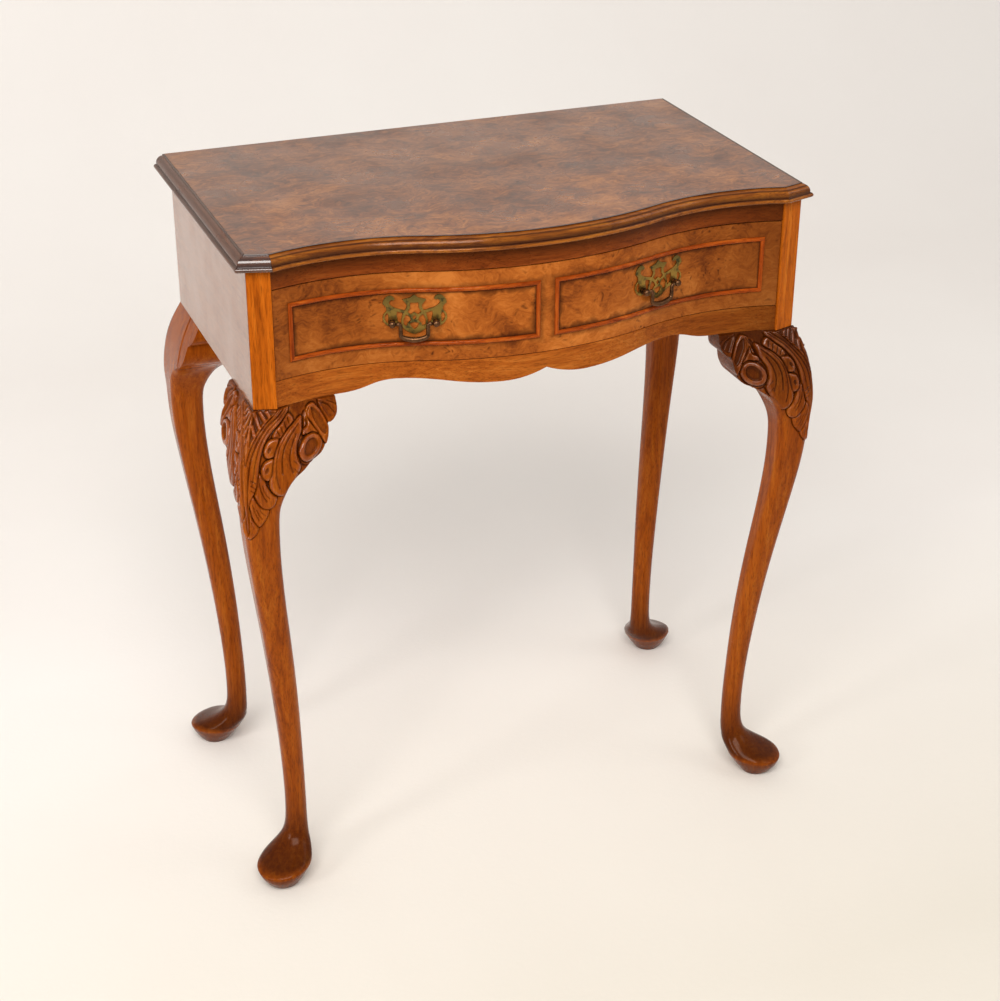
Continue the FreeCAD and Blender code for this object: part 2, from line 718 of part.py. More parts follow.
def new_leg(label, y, turn):
    """A leg with its top corner at the right side of the case."""
    body = new_body(label)
    sections = []
    for index, (z, offset, half, roundness) in enumerate(leg_stations()):
        sketch = new_sketch(body, "XY_Plane", "%s_station_%d" % (label, index), level=z)
        rounded_square(sketch, offset, -offset, half, roundness)
        sections.append(sketch)
    block_start = len(sections) - len(BLOCK_STEPS)
    loft(body, sections[:block_start + 1], label + "_swing")
    loft(body, sections[block_start:], label + "_square")
    flats = new_sketch(body, "XY_Plane", label + "_flats", level=case_base)
    far = leg_block * 2
    draw(flats, [(-leg_block, leg_block), (far, leg_block), (far, far), (-far, far), (-far, -far),
                 (-leg_block, -far)])
    pocket(body, flats, label + "_flat_faces")
    hole = new_sketch(body, "XY_Plane", label + "_dowel_hole", level=case_base)
    draw_circle(hole, -dowel_at, dowel_at, size("dowel_radius") + hole_gap)
    pocket(body, hole, label + "_boring", size("dowel_depth"))
    place(body, half_case, y, 0, turn)
    return body


leg_back_y = case_back + size("leg_back_stand")
right_pieces.append(new_leg("leg_front_right", end_y, 0))
right_pieces.append(new_leg("leg_back_right", leg_back_y, 90))

# Ears beside the knees. Local axes: outward is -Y, along the case is X times the hand.
# The front ears lean back to follow the hollow of the apron.
ear_bottom = -block_drop
ear_far = size("ear_reach") * 1.05


def new_ear(label, hand, lean, x, y, turn):
    body = new_body(label)
    sections = []
    for index, (along, back) in enumerate(((leg_block, as_size(lean) * 0.6), (ear_far, as_size(lean)))):
        sketch = new_sketch(body, "YZ_Plane", "%s_face_%d" % (label, index), level=along * hand)
        draw(sketch, [(back, 0, knee_radius), (back - knee_face(block_drop), ear_bottom),
                      (size("ear_thickness"), ear_bottom), (size("ear_thickness"), 0)])
        sections.append(sketch)
    loft(body, sections, label + "_blank", ruled=True)
    shape = new_sketch(body, "XZ_Plane", label + "_outline")
    under = ear_bottom * 1.2
    draw(shape, [(leg_block * hand, ear_bottom, size("ear_scroll_radius") * hand),
                 (size("ear_notch_reach") * hand, -size("ear_notch_drop"), size("ear_tip_radius") * hand),
                 (size("ear_reach") * hand, 0), (ear_far * hand * 1.1, 0), (ear_far * hand * 1.1, under),
                 (leg_block * hand, under)])
    pocket(body, shape, label + "_shaping")
    place(body, x, y, case_base, turn)
    return body


front_lean = hollow_centre_y + hollow_radius - end_y
right_pieces.append(new_ear("ear_front_right_inner", -1, front_lean, half_case, end_y, 0))
right_pieces.append(new_ear("ear_front_right_side", 1, 0, half_case, end_y, 90))
right_pieces.append(new_ear("ear_back_right_side", -1, 0, half_case, leg_back_y, 90))
right_pieces.append(new_ear("ear_back_right_inner", 1, 0, half_case, leg_back_y, 180))

# Corner blocks and the dowels that hold the legs
block_side = size("block_side")
block_top = opening_base - size("runner_thickness")
dowel_rise = (block_top - case_base) * 0.75
dowels = []
for place_name, wall_y, way, leg_y in (("front", stile_back_y, 1, end_y), ("back", inner_back, -1, leg_back_y)):
    label = "corner_block_%s_right" % place_name
    block = new_body(label)
    plan = new_sketch(block, "XY_Plane", label + "_plan", level=case_base)
    far_x = inner_x - block_side
    far_y = wall_y + block_side * way
    clip = block_side * 0.4
    draw(plan, [(inner_x, wall_y), (inner_x, far_y), (far_x + clip, far_y), (far_x, far_y - clip * way),
                (far_x, wall_y)])
    at = (half_case - dowel_at, leg_y + dowel_at * way)
    draw_circle(plan, at[0], at[1], size("dowel_radius") + hole_gap)
    pad(block, plan, block_top - case_base, label + "_pad")
    right_pieces.append(block)
    dowels.append(new_cylinder("dowel_%s" % place_name, size("dowel_radius"), size("dowel_depth") + dowel_rise,
                               at, case_base - size("dowel_depth")))
right_dowels = new_group("dowels_right", dowels)
pieces.append(new_group("leg_dowels", [right_dowels, left_twin(right_dowels)]))

# Handles: a pierced plate, two ball-headed posts with nuts, and a drop bail.
# Local axes of a handle: X along the front, -Y out of it, turned to the hollow at its place.
handle_x = size("handle_spread")
handle_y = hollow_y(handle_x)
handle_sine = (hollow_x - handle_x) / hollow_radius
handle_cosine = root(1 - handle_sine * handle_sine)
handle_turn = arc_sine(handle_sine)
drawer_z = opening_base + size("drawer_gap")
handle_z = drawer_z + size("handle_rise")
post_at = size("post_spacing") / 2
post_radius = size("post_radius")
ball_radius = size("ball_radius")
ball_stand = size("ball_stand")
plate_thickness = size("plate_thickness")
post_wood = size("post_wood")
nut_thickness = post_radius * 1.75


def place_on_front(thing, along):
    """Stand a piece on the front beside the middle of the right handle."""
    place(thing, handle_x + along * handle_cosine, handle_y + along * handle_sine, handle_z, handle_turn)


neck = post_radius * 1.1
neck_y = root(ball_radius * ball_radius - neck * neck) - ball_stand
collar_y = (neck_y - plate_thickness * 2.2) / 2
collar_base = -plate_thickness * 2.2
post_end = post_wood + nut_thickness * 1.4
post_ways = []
posts = []
nuts = []
for name, way in (("inner", -1), ("outer", 1)):
    way_radius = post_radius + hole_gap
    recess = post_radius * 3.25
    tool = turning("post_way_" + name, [
        (0, -ball_stand), (way_radius, -ball_stand), (way_radius, post_wood), (recess, post_wood),
        (recess, post_wood * 3), (0, post_wood * 3)])
    place_on_front(tool, post_at * way)
    post_ways.append(tool)
    post = turning("post_" + name, [
        (0, -ball_stand - ball_radius, ball_radius), (neck, neck_y), (neck, collar_y),
        (ball_radius * 0.92, collar_y), (ball_radius * 0.92, collar_base), (post_radius, collar_base),
        (post_radius, post_end), (0, post_end)])
    hole = new_sketch(post, "YZ_Plane", "pivot_hole_" + name, level=ball_radius * -0.4 * way)
    draw_circle(hole, -ball_stand, 0, size("pin_radius") + size("pin_gap"))
    pocket(post, hole, "pivot_boring_" + name, ball_radius * 2, turned=way < 0)
    place_on_front(post, post_at * way)
    posts.append(post)
    nut = new_body("nut_" + name)
    hexagon = new_sketch(nut, "XZ_Plane", "nut_plan_" + name, level=-(post_wood + nut_thickness))
    flat = nut_thickness * 1.3
    half_flat = flat * 0.5
    side = flat * math.sqrt(0.75)
    draw(hexagon, [(flat, 0), (half_flat, side), (-half_flat, side), (-flat, 0), (-half_flat, -side),
                   (half_flat, -side)])
    draw_circle(hexagon, 0, 0, post_radius + hole_gap)
    pad(nut, hexagon, nut_thickness, "nut_pad_" + name)
    place_on_front(nut, post_at * way)
    nuts.append(nut)
right_pieces.append(new_group("handle_posts_right", posts))
right_nuts = new_group("nuts_right", nuts)
pieces.append(new_group("handle_nuts", [right_nuts, left_twin(right_nuts)]))

bail = new_body("bail_right")
right_pieces.append(bail)
rod_end = post_at - ball_radius - size("bail_radius") * 0.25
upright = size("bail_half_width")
shoulder = size("bail_shoulder")
bend = size("bail_bend")
drop = -size("bail_drop")
rod = new_sketch(bail, "XZ_Plane", "bail_line", level=ball_stand)
sag = size("bail_sag_radius")
bend_x = upright - bend
sag_rise = root((sag - bend) * (sag - bend) - bend_x * bend_x)
sag_share = sag / (sag - bend)
touch_x = bend_x * sag_share
touch_z = drop + sag - sag_rise * sag_share
bend_z = drop + sag - sag_rise
rod_half = [(touch_x, touch_z, bend), (upright, bend_z), (upright, -shoulder, -shoulder),
            (upright + shoulder, 0), (rod_end, 0)]
rod_line = [(-rod_end, 0), (-upright - shoulder, 0, -shoulder), (-upright, -shoulder),
            (-upright, bend_z, bend), (-touch_x, touch_z, sag)] + rod_half
draw(rod, rod_line, closed=False)
rod_section = new_sketch(bail, "YZ_Plane", "bail_section", level=-rod_end)
draw_circle(rod_section, -ball_stand, 0, size("bail_radius"))
sweep(bail, rod_section, rod, "bail_rod")
pin_length = ball_radius * 0.7
for name, way in (("inner", -1), ("outer", 1)):
    pin = new_sketch(bail, "YZ_Plane", "pivot_" + name, level=rod_end * way)
    draw_circle(pin, -ball_stand, 0, size("pin_radius"))
    pad(bail, pin, pin_length, "pivot_pin_" + name, turned=way < 0)
place_on_front(bail, 0)

plate_scale = size("plate_width") / PLATE_DRAWN_WIDTH
plate_reach = size("plate_width") * 0.56
plate_inner_x = handle_x - plate_reach * handle_cosine
plate_outer_x = handle_x + plate_reach * handle_cosine


def front_strip_plan(start_x, end_x, back, face):
    """Plan of a strip laid on the front, from the bow into the right hollow; back and face are offsets."""
    x, y = join_point(back)
    out_x, out_y = join_point(face)
    return [(start_x, bow_curve_y(start_x, face), bow_radius + face), (out_x, out_y, face - hollow_radius),
            (end_x, hollow_y(end_x, face), 0), (end_x, hollow_y(end_x, back), hollow_radius - back),
            (x, y, -1 * (bow_radius + back)), (start_x, bow_curve_y(start_x, back), 0)]


def plate_point(point):
    return (handle_x + plate_scale * handle_cosine * point[0], handle_z + plate_scale * point[1])


seat_gap = size("seat_gap")
plate_plan = front_strip_plan(plate_inner_x, plate_outer_x, seat_gap, seat_gap + plate_thickness)
plate = outline_pad("plate_blank", plate_plan,
                    handle_z - plate_reach, handle_z + plate_reach)
shape = new_sketch(plate, "XZ_Plane", "plate_outline")
margin = size("plate_width")
draw(shape, [(handle_x - margin, handle_z - margin), (handle_x + margin, handle_z - margin),
             (handle_x + margin, handle_z + margin), (handle_x - margin, handle_z + margin)])
right_half = [plate_point(p) + (plate_scale * p[2] if p[2] else 0,) for p in PLATE_HALF[:-1]]
mirrored_half = [(-x, z, PLATE_HALF[index - 1][2]) for index, (x, z, _) in enumerate(PLATE_HALF)][:0:-1]
left_half_points = [plate_point(p) + (plate_scale * p[2] if p[2] else 0,) for p in mirrored_half]
draw(shape, right_half + left_half_points)
pocket(plate, shape, "plate_shaping")
holes = new_sketch(plate, "XZ_Plane", "plate_piercings")
for outline in PLATE_MIDDLE_HOLES + PLATE_SIDE_HOLES:
    draw(holes, [plate_point(p) for p in outline])
for outline in PLATE_SIDE_HOLES:
    draw(holes, [plate_point((-p[0], p[1])) for p in outline])
pocket(plate, holes, "plate_piercing")
right_pieces.append(cut_out("handle_plate_right", plate, post_ways))

# Drawer: front, sides let into it, back and bottom
drawer_half = open_x - size("drawer_gap")
drawer_top = opening_top - size("drawer_gap")
drawer_inner = drawer_half - size("drawer_side_thickness")
side_z = opening_base + size("runner_gap")
side_top = side_z + size("drawer_side_height")
lap_start = drawer_face_back - size("drawer_lap")
drawer_end = inner_back - size("stop_length") - size("runner_gap")
bottom_thickness = size("drawer_bottom_thickness")
bottom_z = side_z + bottom_thickness * 0.8
bottom_half = drawer_inner + size("groove_depth")
bottom_start = drawer_face_back - size("groove_depth")
groove_z = (bottom_z, bottom_z + bottom_thickness + hole_gap)
cut_spare = size("cut_spare")

front_plan = front_curve(drawer_half) + [(drawer_half, drawer_face_back), (-drawer_half, drawer_face_back)]
front_blank = outline_pad("drawer_front_blank", front_plan, drawer_z, drawer_top)
right_ways = new_group("post_ways_right", post_ways)
right_lap = new_box("lap_right", (drawer_inner, drawer_half + cut_spare),
                    (lap_start, drawer_face_back + cut_spare), (drawer_z - cut_spare, side_top))
front_groove = new_box("front_groove", (-bottom_half - hole_gap, bottom_half + hole_gap),
                       (bottom_start - hole_gap, drawer_face_back + cut_spare), groove_z)
pieces.append(cut_out("drawer_front", front_blank,
                      [right_ways, left_twin(right_ways), right_lap, left_twin(right_lap), front_groove]))
side_blank = new_box("drawer_side_blank", (drawer_inner, drawer_half), (lap_start, drawer_end),
                     (side_z, side_top))
side_groove = new_box("side_groove", (drawer_inner - cut_spare, bottom_half + hole_gap),
                      (bottom_start - hole_gap, drawer_end + cut_spare), groove_z)
right_pieces.append(cut_out("drawer_side_right", side_blank, [side_groove]))
pieces.append(new_box("drawer_back", (-drawer_inner, drawer_inner),
                      (drawer_end - size("drawer_side_thickness"), drawer_end),
                      (bottom_z + bottom_thickness, side_top - bottom_thickness)))
pieces.append(new_box("drawer_bottom", (-bottom_half, bottom_half), (bottom_start, drawer_end),
                      (bottom_z, bottom_z + bottom_thickness)))

# Beads on the drawer front: two mitred frames of half-round strips
bead_width = size("bead_width")
bead_proud = size("bead_proud")
bead_radius = (bead_width * bead_width / 4 + bead_proud * bead_proud) / (2 * bead_proud)
frame_inner = size("bead_half_gap")
frame_outer = drawer_half - size("bead_margin")
frame_base = drawer_z + size("bead_margin")
frame_top = drawer_top - size("bead_margin")
past = bead_width * 3


def level_bead(label, z, way):
    """A bead along the front; way is up (1) or down (-1) from the outer edge of the frame to its inner edge."""
    body = new_body(label)
    spine = new_sketch(body, "XY_Plane", label + "_line", level=z)
    x, y = join_point(seat_gap)
    end_x = frame_outer + past
    draw(spine, [(0, bow_y - seat_gap, bow_radius + seat_gap), (x, y, seat_gap - hollow_radius),
                 (end_x, hollow_y(end_x, seat_gap))], closed=False)
    section = new_sketch(body, "YZ_Plane", label + "_section", x=bow_y - seat_gap, y=z)
    draw(section, [(0, 0, -bead_radius * way), (0, bead_width * way, 0)])
    sweep(body, section, spine, label + "_sweep")
    ends = new_sketch(body, "XZ_Plane", label + "_mitres")
    inner_z = z + bead_width * way
    low = z - past * way
    high = inner_z + past * way
    draw(ends, [(frame_inner, z), (frame_inner + bead_width, inner_z), (frame_inner + bead_width, high),
                (-past, high), (-past, low), (frame_inner, low)])
    beyond = frame_outer + 2 * past
    draw(ends, [(frame_outer, z), (frame_outer, low), (beyond, low), (beyond, high),
                (frame_outer - bead_width, high), (frame_outer - bead_width, inner_z)])
    pocket(body, ends, label + "_mitring")
    return body


def upright_bead(label, x, way, height_of, surface_radius):
    """A bead up the front; way points from the outer edge of the frame to its inner edge."""
    inner = x + bead_width * way
    first, last = (x, inner) if way > 0 else (inner, x)
    first_y = height_of(first, seat_gap)
    last_y = height_of(last, seat_gap)
    slant = last_y - first_y
    radius = ((bead_width * bead_width + slant * slant) / 4 + bead_proud * bead_proud) / (2 * bead_proud)
    body = outline_pad(label, [(first, first_y, radius), (last, last_y, surface_radius)], frame_base, frame_top)
    ends = new_sketch(body, "XZ_Plane", label + "_mitres")
    out_x = x - past * way
    in_x = inner + past * way
    for z, up in ((frame_base, 1), (frame_top, -1)):
        draw(ends, [(x, z), (inner, z + bead_width * up), (in_x, z + bead_width * up), (in_x, z - past * up),
                    (out_x, z - past * up), (out_x, z)])
    pocket(body, ends, label + "_mitring")
    return body


right_pieces.append(level_bead("bead_right_bottom", frame_base, 1))
right_pieces.append(level_bead("bead_right_top", frame_top, -1))
right_pieces.append(upright_bead("bead_right_inner", frame_inner, 1, bow_curve_y, -1 * (bow_radius + seat_gap)))
right_pieces.append(upright_bead("bead_right_outer", frame_outer, -1, hollow_y, hollow_radius - seat_gap))

pieces += right_pieces
pieces += [left_twin(piece) for piece in right_pieces]
doc.recompute()

# Check every object and write one file for each piece
for item in doc.Objects:
    if "Invalid" in item.State or "Error" in item.State:
        raise RuntimeError("%s did not build" % item.Label)
os.makedirs("parts", exist_ok=True)
for piece in pieces:
    if piece.Shape.isNull() or not piece.Shape.isValid():
        raise RuntimeError("%s has no sound shape" % piece.Label)
    piece.Shape.exportStep("parts/%s.step" % piece.Label)
print("pieces written:", len(pieces))
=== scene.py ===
# %% [markdown]
# # A serpentine side table in burr walnut
# The table stands on four cabriole legs with pad feet. Its case holds one long drawer whose front is dressed
# as two panels. The CAD frame already has every board, strip and handle in its real place and in metres, so
# this lesson adds what a CAD solid lacks: eased edges, carving on the front knees, and the finishes.

# %% Load the frame
import json
import math

import bmesh
import bpy
import numpy as np
from mathutils import Matrix, Vector


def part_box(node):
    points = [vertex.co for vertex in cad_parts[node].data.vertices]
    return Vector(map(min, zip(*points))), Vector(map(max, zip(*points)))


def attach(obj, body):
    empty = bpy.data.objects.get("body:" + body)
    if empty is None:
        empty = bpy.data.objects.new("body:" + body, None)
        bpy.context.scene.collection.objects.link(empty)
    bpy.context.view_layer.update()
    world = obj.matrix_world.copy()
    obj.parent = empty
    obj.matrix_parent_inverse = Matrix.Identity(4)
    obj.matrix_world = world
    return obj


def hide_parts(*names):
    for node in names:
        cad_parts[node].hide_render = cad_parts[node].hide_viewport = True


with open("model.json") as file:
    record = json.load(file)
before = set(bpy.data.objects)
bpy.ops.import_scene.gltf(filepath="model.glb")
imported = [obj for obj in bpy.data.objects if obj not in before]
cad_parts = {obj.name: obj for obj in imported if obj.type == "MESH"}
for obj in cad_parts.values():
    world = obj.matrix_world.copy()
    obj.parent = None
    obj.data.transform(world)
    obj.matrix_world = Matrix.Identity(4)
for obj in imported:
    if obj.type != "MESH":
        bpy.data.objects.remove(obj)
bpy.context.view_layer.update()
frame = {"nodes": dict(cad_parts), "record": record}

nodes = frame["nodes"]
scene = bpy.context.scene
MM = 0.001


def put(name, data):
    """A new object in the scene."""
    thing = bpy.data.objects.new(name, data)
    scene.collection.objects.link(thing)
    return thing


# %% [markdown]
# ## The camera
# The photograph was taken from the front left, a little above the top, with a fairly long lens. The camera's
# place and three turns were solved from edges of the case whose sizes are known. A camera in Blender looks
# along its own -Z, so its axes are the picture's right, up and backward directions.

# %% Camera
CAMERA_PLACE = (-0.74416, -1.90978, 1.43355)
YAW, PITCH, ROLL = (math.radians(turn) for turn in (21.833, 27.654, -0.296))
PICTURE_HEIGHT = 1001
FOCAL_PIXELS = 1959.92
SENSOR = 36.0

forward = Vector((math.sin(YAW) * math.cos(PITCH), math.cos(YAW) * math.cos(PITCH), -math.sin(PITCH)))
level_right = Vector((math.cos(YAW), -math.sin(YAW), 0))
level_down = forward.cross(level_right)
right = math.cos(ROLL) * level_right + math.sin(ROLL) * level_down
down = math.cos(ROLL) * level_down - math.sin(ROLL) * level_right

camera_data = bpy.data.cameras.new("photo_camera")
camera_data.sensor_width = SENSOR
camera_data.lens = FOCAL_PIXELS * SENSOR / PICTURE_HEIGHT
camera = put("photo_camera", camera_data)
axes = Matrix((right, -down, -forward)).transposed()
camera.matrix_world = Matrix.Translation(CAMERA_PLACE) @ axes.to_4x4()
scene.camera = camera
scene.view_settings.view_transform = "Standard"
print("camera lens %.2f mm" % camera_data.lens)

# %% [markdown]
# ## Colours and nodes
# A colour is given as an sRGB hex value, while the renderer counts light, so one function turns hex
# to linear. A second one adds a shader node, sets it and links what feeds it, and the rest are short names
# for the nodes that come back most often.


# %% Helpers for finishes
def linear(colour):
    """The linear RGBA of an sRGB hex colour."""
    parts = [int(colour[i:i + 2], 16) / 255 for i in (1, 3, 5)]
    return [c / 12.92 if c <= 0.04045 else ((c + 0.055) / 1.055) ** 2.4 for c in parts] + [1.0]


def add(tree, kind, links=None, stops=None, **settings):
    """One shader node. A link is a node, a pair of node and output, or a plain value."""
    node = tree.nodes.new("ShaderNode" + kind)
    for key, value in settings.items():
        setattr(node, key, value)
    if stops:
        ramp = node.color_ramp.elements
        ramp[0].position, ramp[1].position = stops[0][0], stops[-1][0]
        for place, _ in stops[1:-1]:
            ramp.new(place)
        for element, (_, colour) in zip(ramp, stops):
            element.color = linear(colour)
    for key, value in (links or {}).items():
        source, output = value[:2] if isinstance(value, tuple) else (value, 0)
        if isinstance(source, bpy.types.Node):
            tree.links.new(source.outputs[output], node.inputs[key])
        else:
            node.inputs[key].default_value = value
    return node


def noise(tree, where, size, detail, **more):
    """Noise with spots about that many mm across."""
    return add(tree, "TexNoise", {"Vector": where, "Scale": 1 / (size * MM), "Detail": detail, **more})


def between(tree, value, start, end, low=0.0, high=1.0):
    """A number that goes from low to high while the value goes from start to end."""
    return add(tree, "MapRange", {0: value, 1: start, 2: end, 3: low, 4: high})


def reckon(tree, operation, *values):
    """One step of arithmetic."""
    return add(tree, "Math", dict(enumerate(values)), operation=operation)


def weighed(tree, parts, shares):
    """Several numbers added up by their shares."""
    total = 0.0
    for part, share in zip(parts, shares):
        total = reckon(tree, "MULTIPLY_ADD", part, share, total)
    return total


def blend(tree, share, first, second, how="MIX"):
    """Two colours mixed by a share from 0 to 1."""
    return add(tree, "Mix", {0: share, 6: first, 7: second}, data_type="RGBA", blend_type=how), 2


def axis_of(tree, place, axis):
    """How far along X, Y or Z a point of the table lies, in metres."""
    return add(tree, "SeparateXYZ", {0: place}), axis


def new_finish(name):
    """An empty material, its node tree, and where on the table a point lies."""
    material = bpy.data.materials.new(name)
    material.use_nodes = True
    material.node_tree.nodes.clear()
    return material, material.node_tree, (add(material.node_tree, "TexCoord"), "Object")


def lay_on(tree, colour, roughness, height, depth, **shader):
    """The surface itself: colour, gloss, and a bump of that depth in metres."""
    bump = add(tree, "Bump", {"Height": height, "Distance": depth, "Strength": 1.0})
    links = {"Base Color": colour, "Roughness": roughness, "Normal": bump}
    links.update({key.replace("_", " "): value for key, value in shader.items()})
    add(tree, "OutputMaterial", {"Surface": add(tree, "BsdfPrincipled", links)})


print("helpers ready")

# %% [markdown]
# ## The studio
# The table was photographed in a white corner of a darker room, so the stage is a pale floor that sweeps up
# into a wall and ends before the camera, with one large soft lamp high in front, a window on the left, a weak
# lamp on the right, and a dim even sky for the room. Polished fronts mirror the dim room, which keeps their
# colour deep, while the side and the far part of the top mirror the white corner and show a veil of glare.

# %% White cove
FLOOR_FRONT, FLOOR_BACK, WALL_TOP, SWEEP = -1.3, 2.6, 3.6, 1.2
STAGE_HALF = 4.0
SWEEP_STEPS = 24
# Where the painted shade of the near floor is full and where the pale far tint is full, in metres
SHADED_UNTIL, PALE_FROM = -0.5, 0.35
PAINT_ROUGHNESS, CLOUD_SCALE, ROLLER_SCALE, ROLLER_DEPTH = 0.75, 1.7, 160.0, 0.0002

profile = [(FLOOR_FRONT, 0.0), (FLOOR_BACK - SWEEP, 0.0)]
for step in range(1, SWEEP_STEPS):
    turn = step / SWEEP_STEPS * math.pi / 2
    profile.append((FLOOR_BACK - SWEEP + SWEEP * math.sin(turn), SWEEP - SWEEP * math.cos(turn)))
profile += [(FLOOR_BACK, SWEEP), (FLOOR_BACK, WALL_TOP)]
stage_mesh = bpy.data.meshes.new("white_cove")
stage_mesh.from_pydata([(x, y, z) for y, z in profile for x in (-STAGE_HALF, STAGE_HALF)], [],
                       [(2 * i, 2 * i + 1, 2 * i + 3, 2 * i + 2) for i in range(len(profile) - 1)])
stage_mesh.shade_smooth()
cove = put("white_cove", stage_mesh)

# Rolled wall paint: matt and a little clouded. The floor is painted darker and warmer toward the front as
# painted shade that evens out the stronger lamp light there
paint, tree, place = new_finish("painted_cove")
cloud = add(tree, "TexNoise", {"Vector": place, "Scale": CLOUD_SCALE, "Detail": 3.0})
near_tint = add(tree, "ValToRGB", {"Fac": cloud}, stops=[(0.3, "#E0DACE"), (0.7, "#E5DFD4")])
far_tint = add(tree, "ValToRGB", {"Fac": cloud}, stops=[(0.3, "#F6F1ED"), (0.7, "#F9F5F1")])
back = between(tree, axis_of(tree, place, "Y"), SHADED_UNTIL, PALE_FROM)
roller = add(tree, "TexNoise", {"Vector": place, "Scale": ROLLER_SCALE})
lay_on(tree, blend(tree, back, near_tint, far_tint), PAINT_ROUGHNESS, roller, ROLLER_DEPTH)
stage_mesh.materials.append(paint)
print("cove with", len(profile), "steps")

# %% Sky and lamps
SKY_STRENGTH = 0.53
sky = bpy.data.worlds.new("studio_sky")
sky.use_nodes = True
sky.node_tree.nodes["Background"].inputs["Color"].default_value = linear("#FFFDFA")
sky.node_tree.nodes["Background"].inputs["Strength"].default_value = SKY_STRENGTH
scene.world = sky


def soft_lamp(name, place, aim, width, height, power, colour):
    """A lamp with a flat rectangle of light, turned to what it lights; metres and watts."""
    lamp = bpy.data.lights.new(name, "AREA")
    lamp.shape = "RECTANGLE"
    lamp.size, lamp.size_y = width, height
    lamp.energy = power
    lamp.color = linear(colour)[:3]
    holder = put(name, lamp)
    holder.location = place
    holder.rotation_euler = (Vector(aim) - Vector(place)).to_track_quat("-Z", "Y").to_euler()


soft_lamp("key_softbox", (-1.15, -2.4, 3.1), (0, 0.1, 0.4), 2.4, 1.8, 112, "#FFFCF8")
soft_lamp("left_window", (-2.6, -1.0, 1.3), (0, 0, 0.5), 0.5, 1.0, 15, "#FFFDFA")
soft_lamp("right_fill", (2.6, -1.6, 2.4), (0, 0, 0.4), 1.4, 1.4, 10, "#FFFCF8")
print("studio ready")

# %% [markdown]
# ## Walnut, sawn straight and French polished
# The case, the legs, the mouldings and the beads are solid walnut. What the eye sees is a warm ground with
# darker streaks 3 to 6 mm wide that run with the grain, thin open pores, and a clear polish that is never
# quite even. Noise that is squeezed across the grain and drawn out along it gives both streaks and pores.
# Real pores are about 0.2 mm wide, too fine for the picture, so they are drawn three times as wide. Painted
# shade darkens hollows and corners and where less light falls; each finish can take it as a shade from 0 to
# 1.
# The shellac is amber, so it tints the light that it mirrors straight back.

# %% Polished walnut
GRAIN_X, GRAIN_Y, GRAIN_Z = 0, 1, 2
# The dark that painted shade mixes in, and toner on the foot; then the tints of the polish
PAINTED_SHADE_AND_TONER, AMBER, CLEAR = "#280B02", "#FFB274", "#FFFFFF"
COAT_ROUGHNESS = 0.14
# Width and length in mm; a streak is as many times longer than wide
BAND, PORE, STREAK_LENGTH = (26, 190), (0.7, 13), 18
# Shares of streaks and bands, where the tones lie, and the edge of a pore with how dark it is
FIGURE_SHARES = (0.66, 0.34)
WALNUT_STOPS, PORE_EDGE = (0.36, 0.46, 0.54, 0.66), (0.36, 0.47, 0.62, 1.0)
PORE_DEPTH = 0.00006


def grain_noise(tree, place, grain, width, length, detail, uneven=0.0, rough=0.6):
    """Noise drawn out along the grain; width and length in mm."""
    drawn_out = [1.0, 1.0, 1.0]
    drawn_out[grain] = width / length
    along = add(tree, "Mapping", {"Vector": place, "Scale": drawn_out})
    return noise(tree, along, width, detail, Roughness=rough, Distortion=uneven)


def hand_polish(tree, place, patch, gloss):
    """The roughness of a polish that is never quite even, in patches of that many mm."""
    return between(tree, noise(tree, place, patch, 3.0), 0.35, 0.7, gloss - 0.05, gloss + 0.1)


def under_painted_shade(tree, place, colour, shade):
    """The colour darkened by its painted shade, where a finish has any."""
    return blend(tree, shade(tree, place), colour, linear(PAINTED_SHADE_AND_TONER)) if shade else colour


def polished_walnut(name, grain, tones, streak=4.0, gloss=0.27, coat=0.0, shade=None, mirror=0.15,
                    tint=AMBER):
    """Walnut with its grain along one axis. Tones run from the darkest streak to the lightest."""
    material, tree, place = new_finish(name)
    streaks = grain_noise(tree, place, grain, streak, streak * STREAK_LENGTH, 5.0, 0.5)
    bands = grain_noise(tree, place, grain, *BAND, 2.0, 0.6)
    figure = weighed(tree, (streaks, bands), FIGURE_SHARES)
    ground = add(tree, "ValToRGB", {"Fac": figure}, stops=list(zip(WALNUT_STOPS, tones)))
    pores = between(tree, grain_noise(tree, place, grain, *PORE, 1.5), *PORE_EDGE)
    colour = under_painted_shade(tree, place, blend(tree, 1.0, ground, pores, "MULTIPLY"), shade)
    lay_on(tree, colour, hand_polish(tree, place, 55, gloss), pores, PORE_DEPTH,
           Coat_Weight=coat(tree) if callable(coat) else coat, Coat_Roughness=COAT_ROUGHNESS,
           Specular_Tint=linear(tint), Specular_IOR_Level=mirror)
    return material


print("walnut can be made")

# %% [markdown]
# ## Where the painted shade goes
# Painted shade stands in for light that does not reach: it is darkest in the quirks of the moulding, on the
# rail under it, and toward the right end of the front. On the carving, painted shade and polish follow two
# numbers that the carving itself leaves on each point: how deep the point lies and how much it is rubbed.

# %% Painted shade
# Where painted shade toward the right end starts and where it is full, in metres
SHADED_RIGHT_END = (0.08, 0.3)


def by_height(stops):
    """A share by height above the floor: pairs of height in mm and grey hex, white for a full share (painted
    shade on the wood, patina on the brass).
    """
    low, high = stops[0][0], stops[-1][0]
    steps = [((height - low) / (high - low), grey) for height, grey in stops]

    def shade(tree, place):
        share = between(tree, axis_of(tree, place, "Z"), low * MM, high * MM)
        return add(tree, "ValToRGB", {"Fac": share}, stops=steps)

    return shade


def painted_shade_toward_right(tree, place, most):
    """Painted shade that grows toward the right end of the front, where less light falls."""
    return between(tree, axis_of(tree, place, "X"), *SHADED_RIGHT_END, 0.0, most)


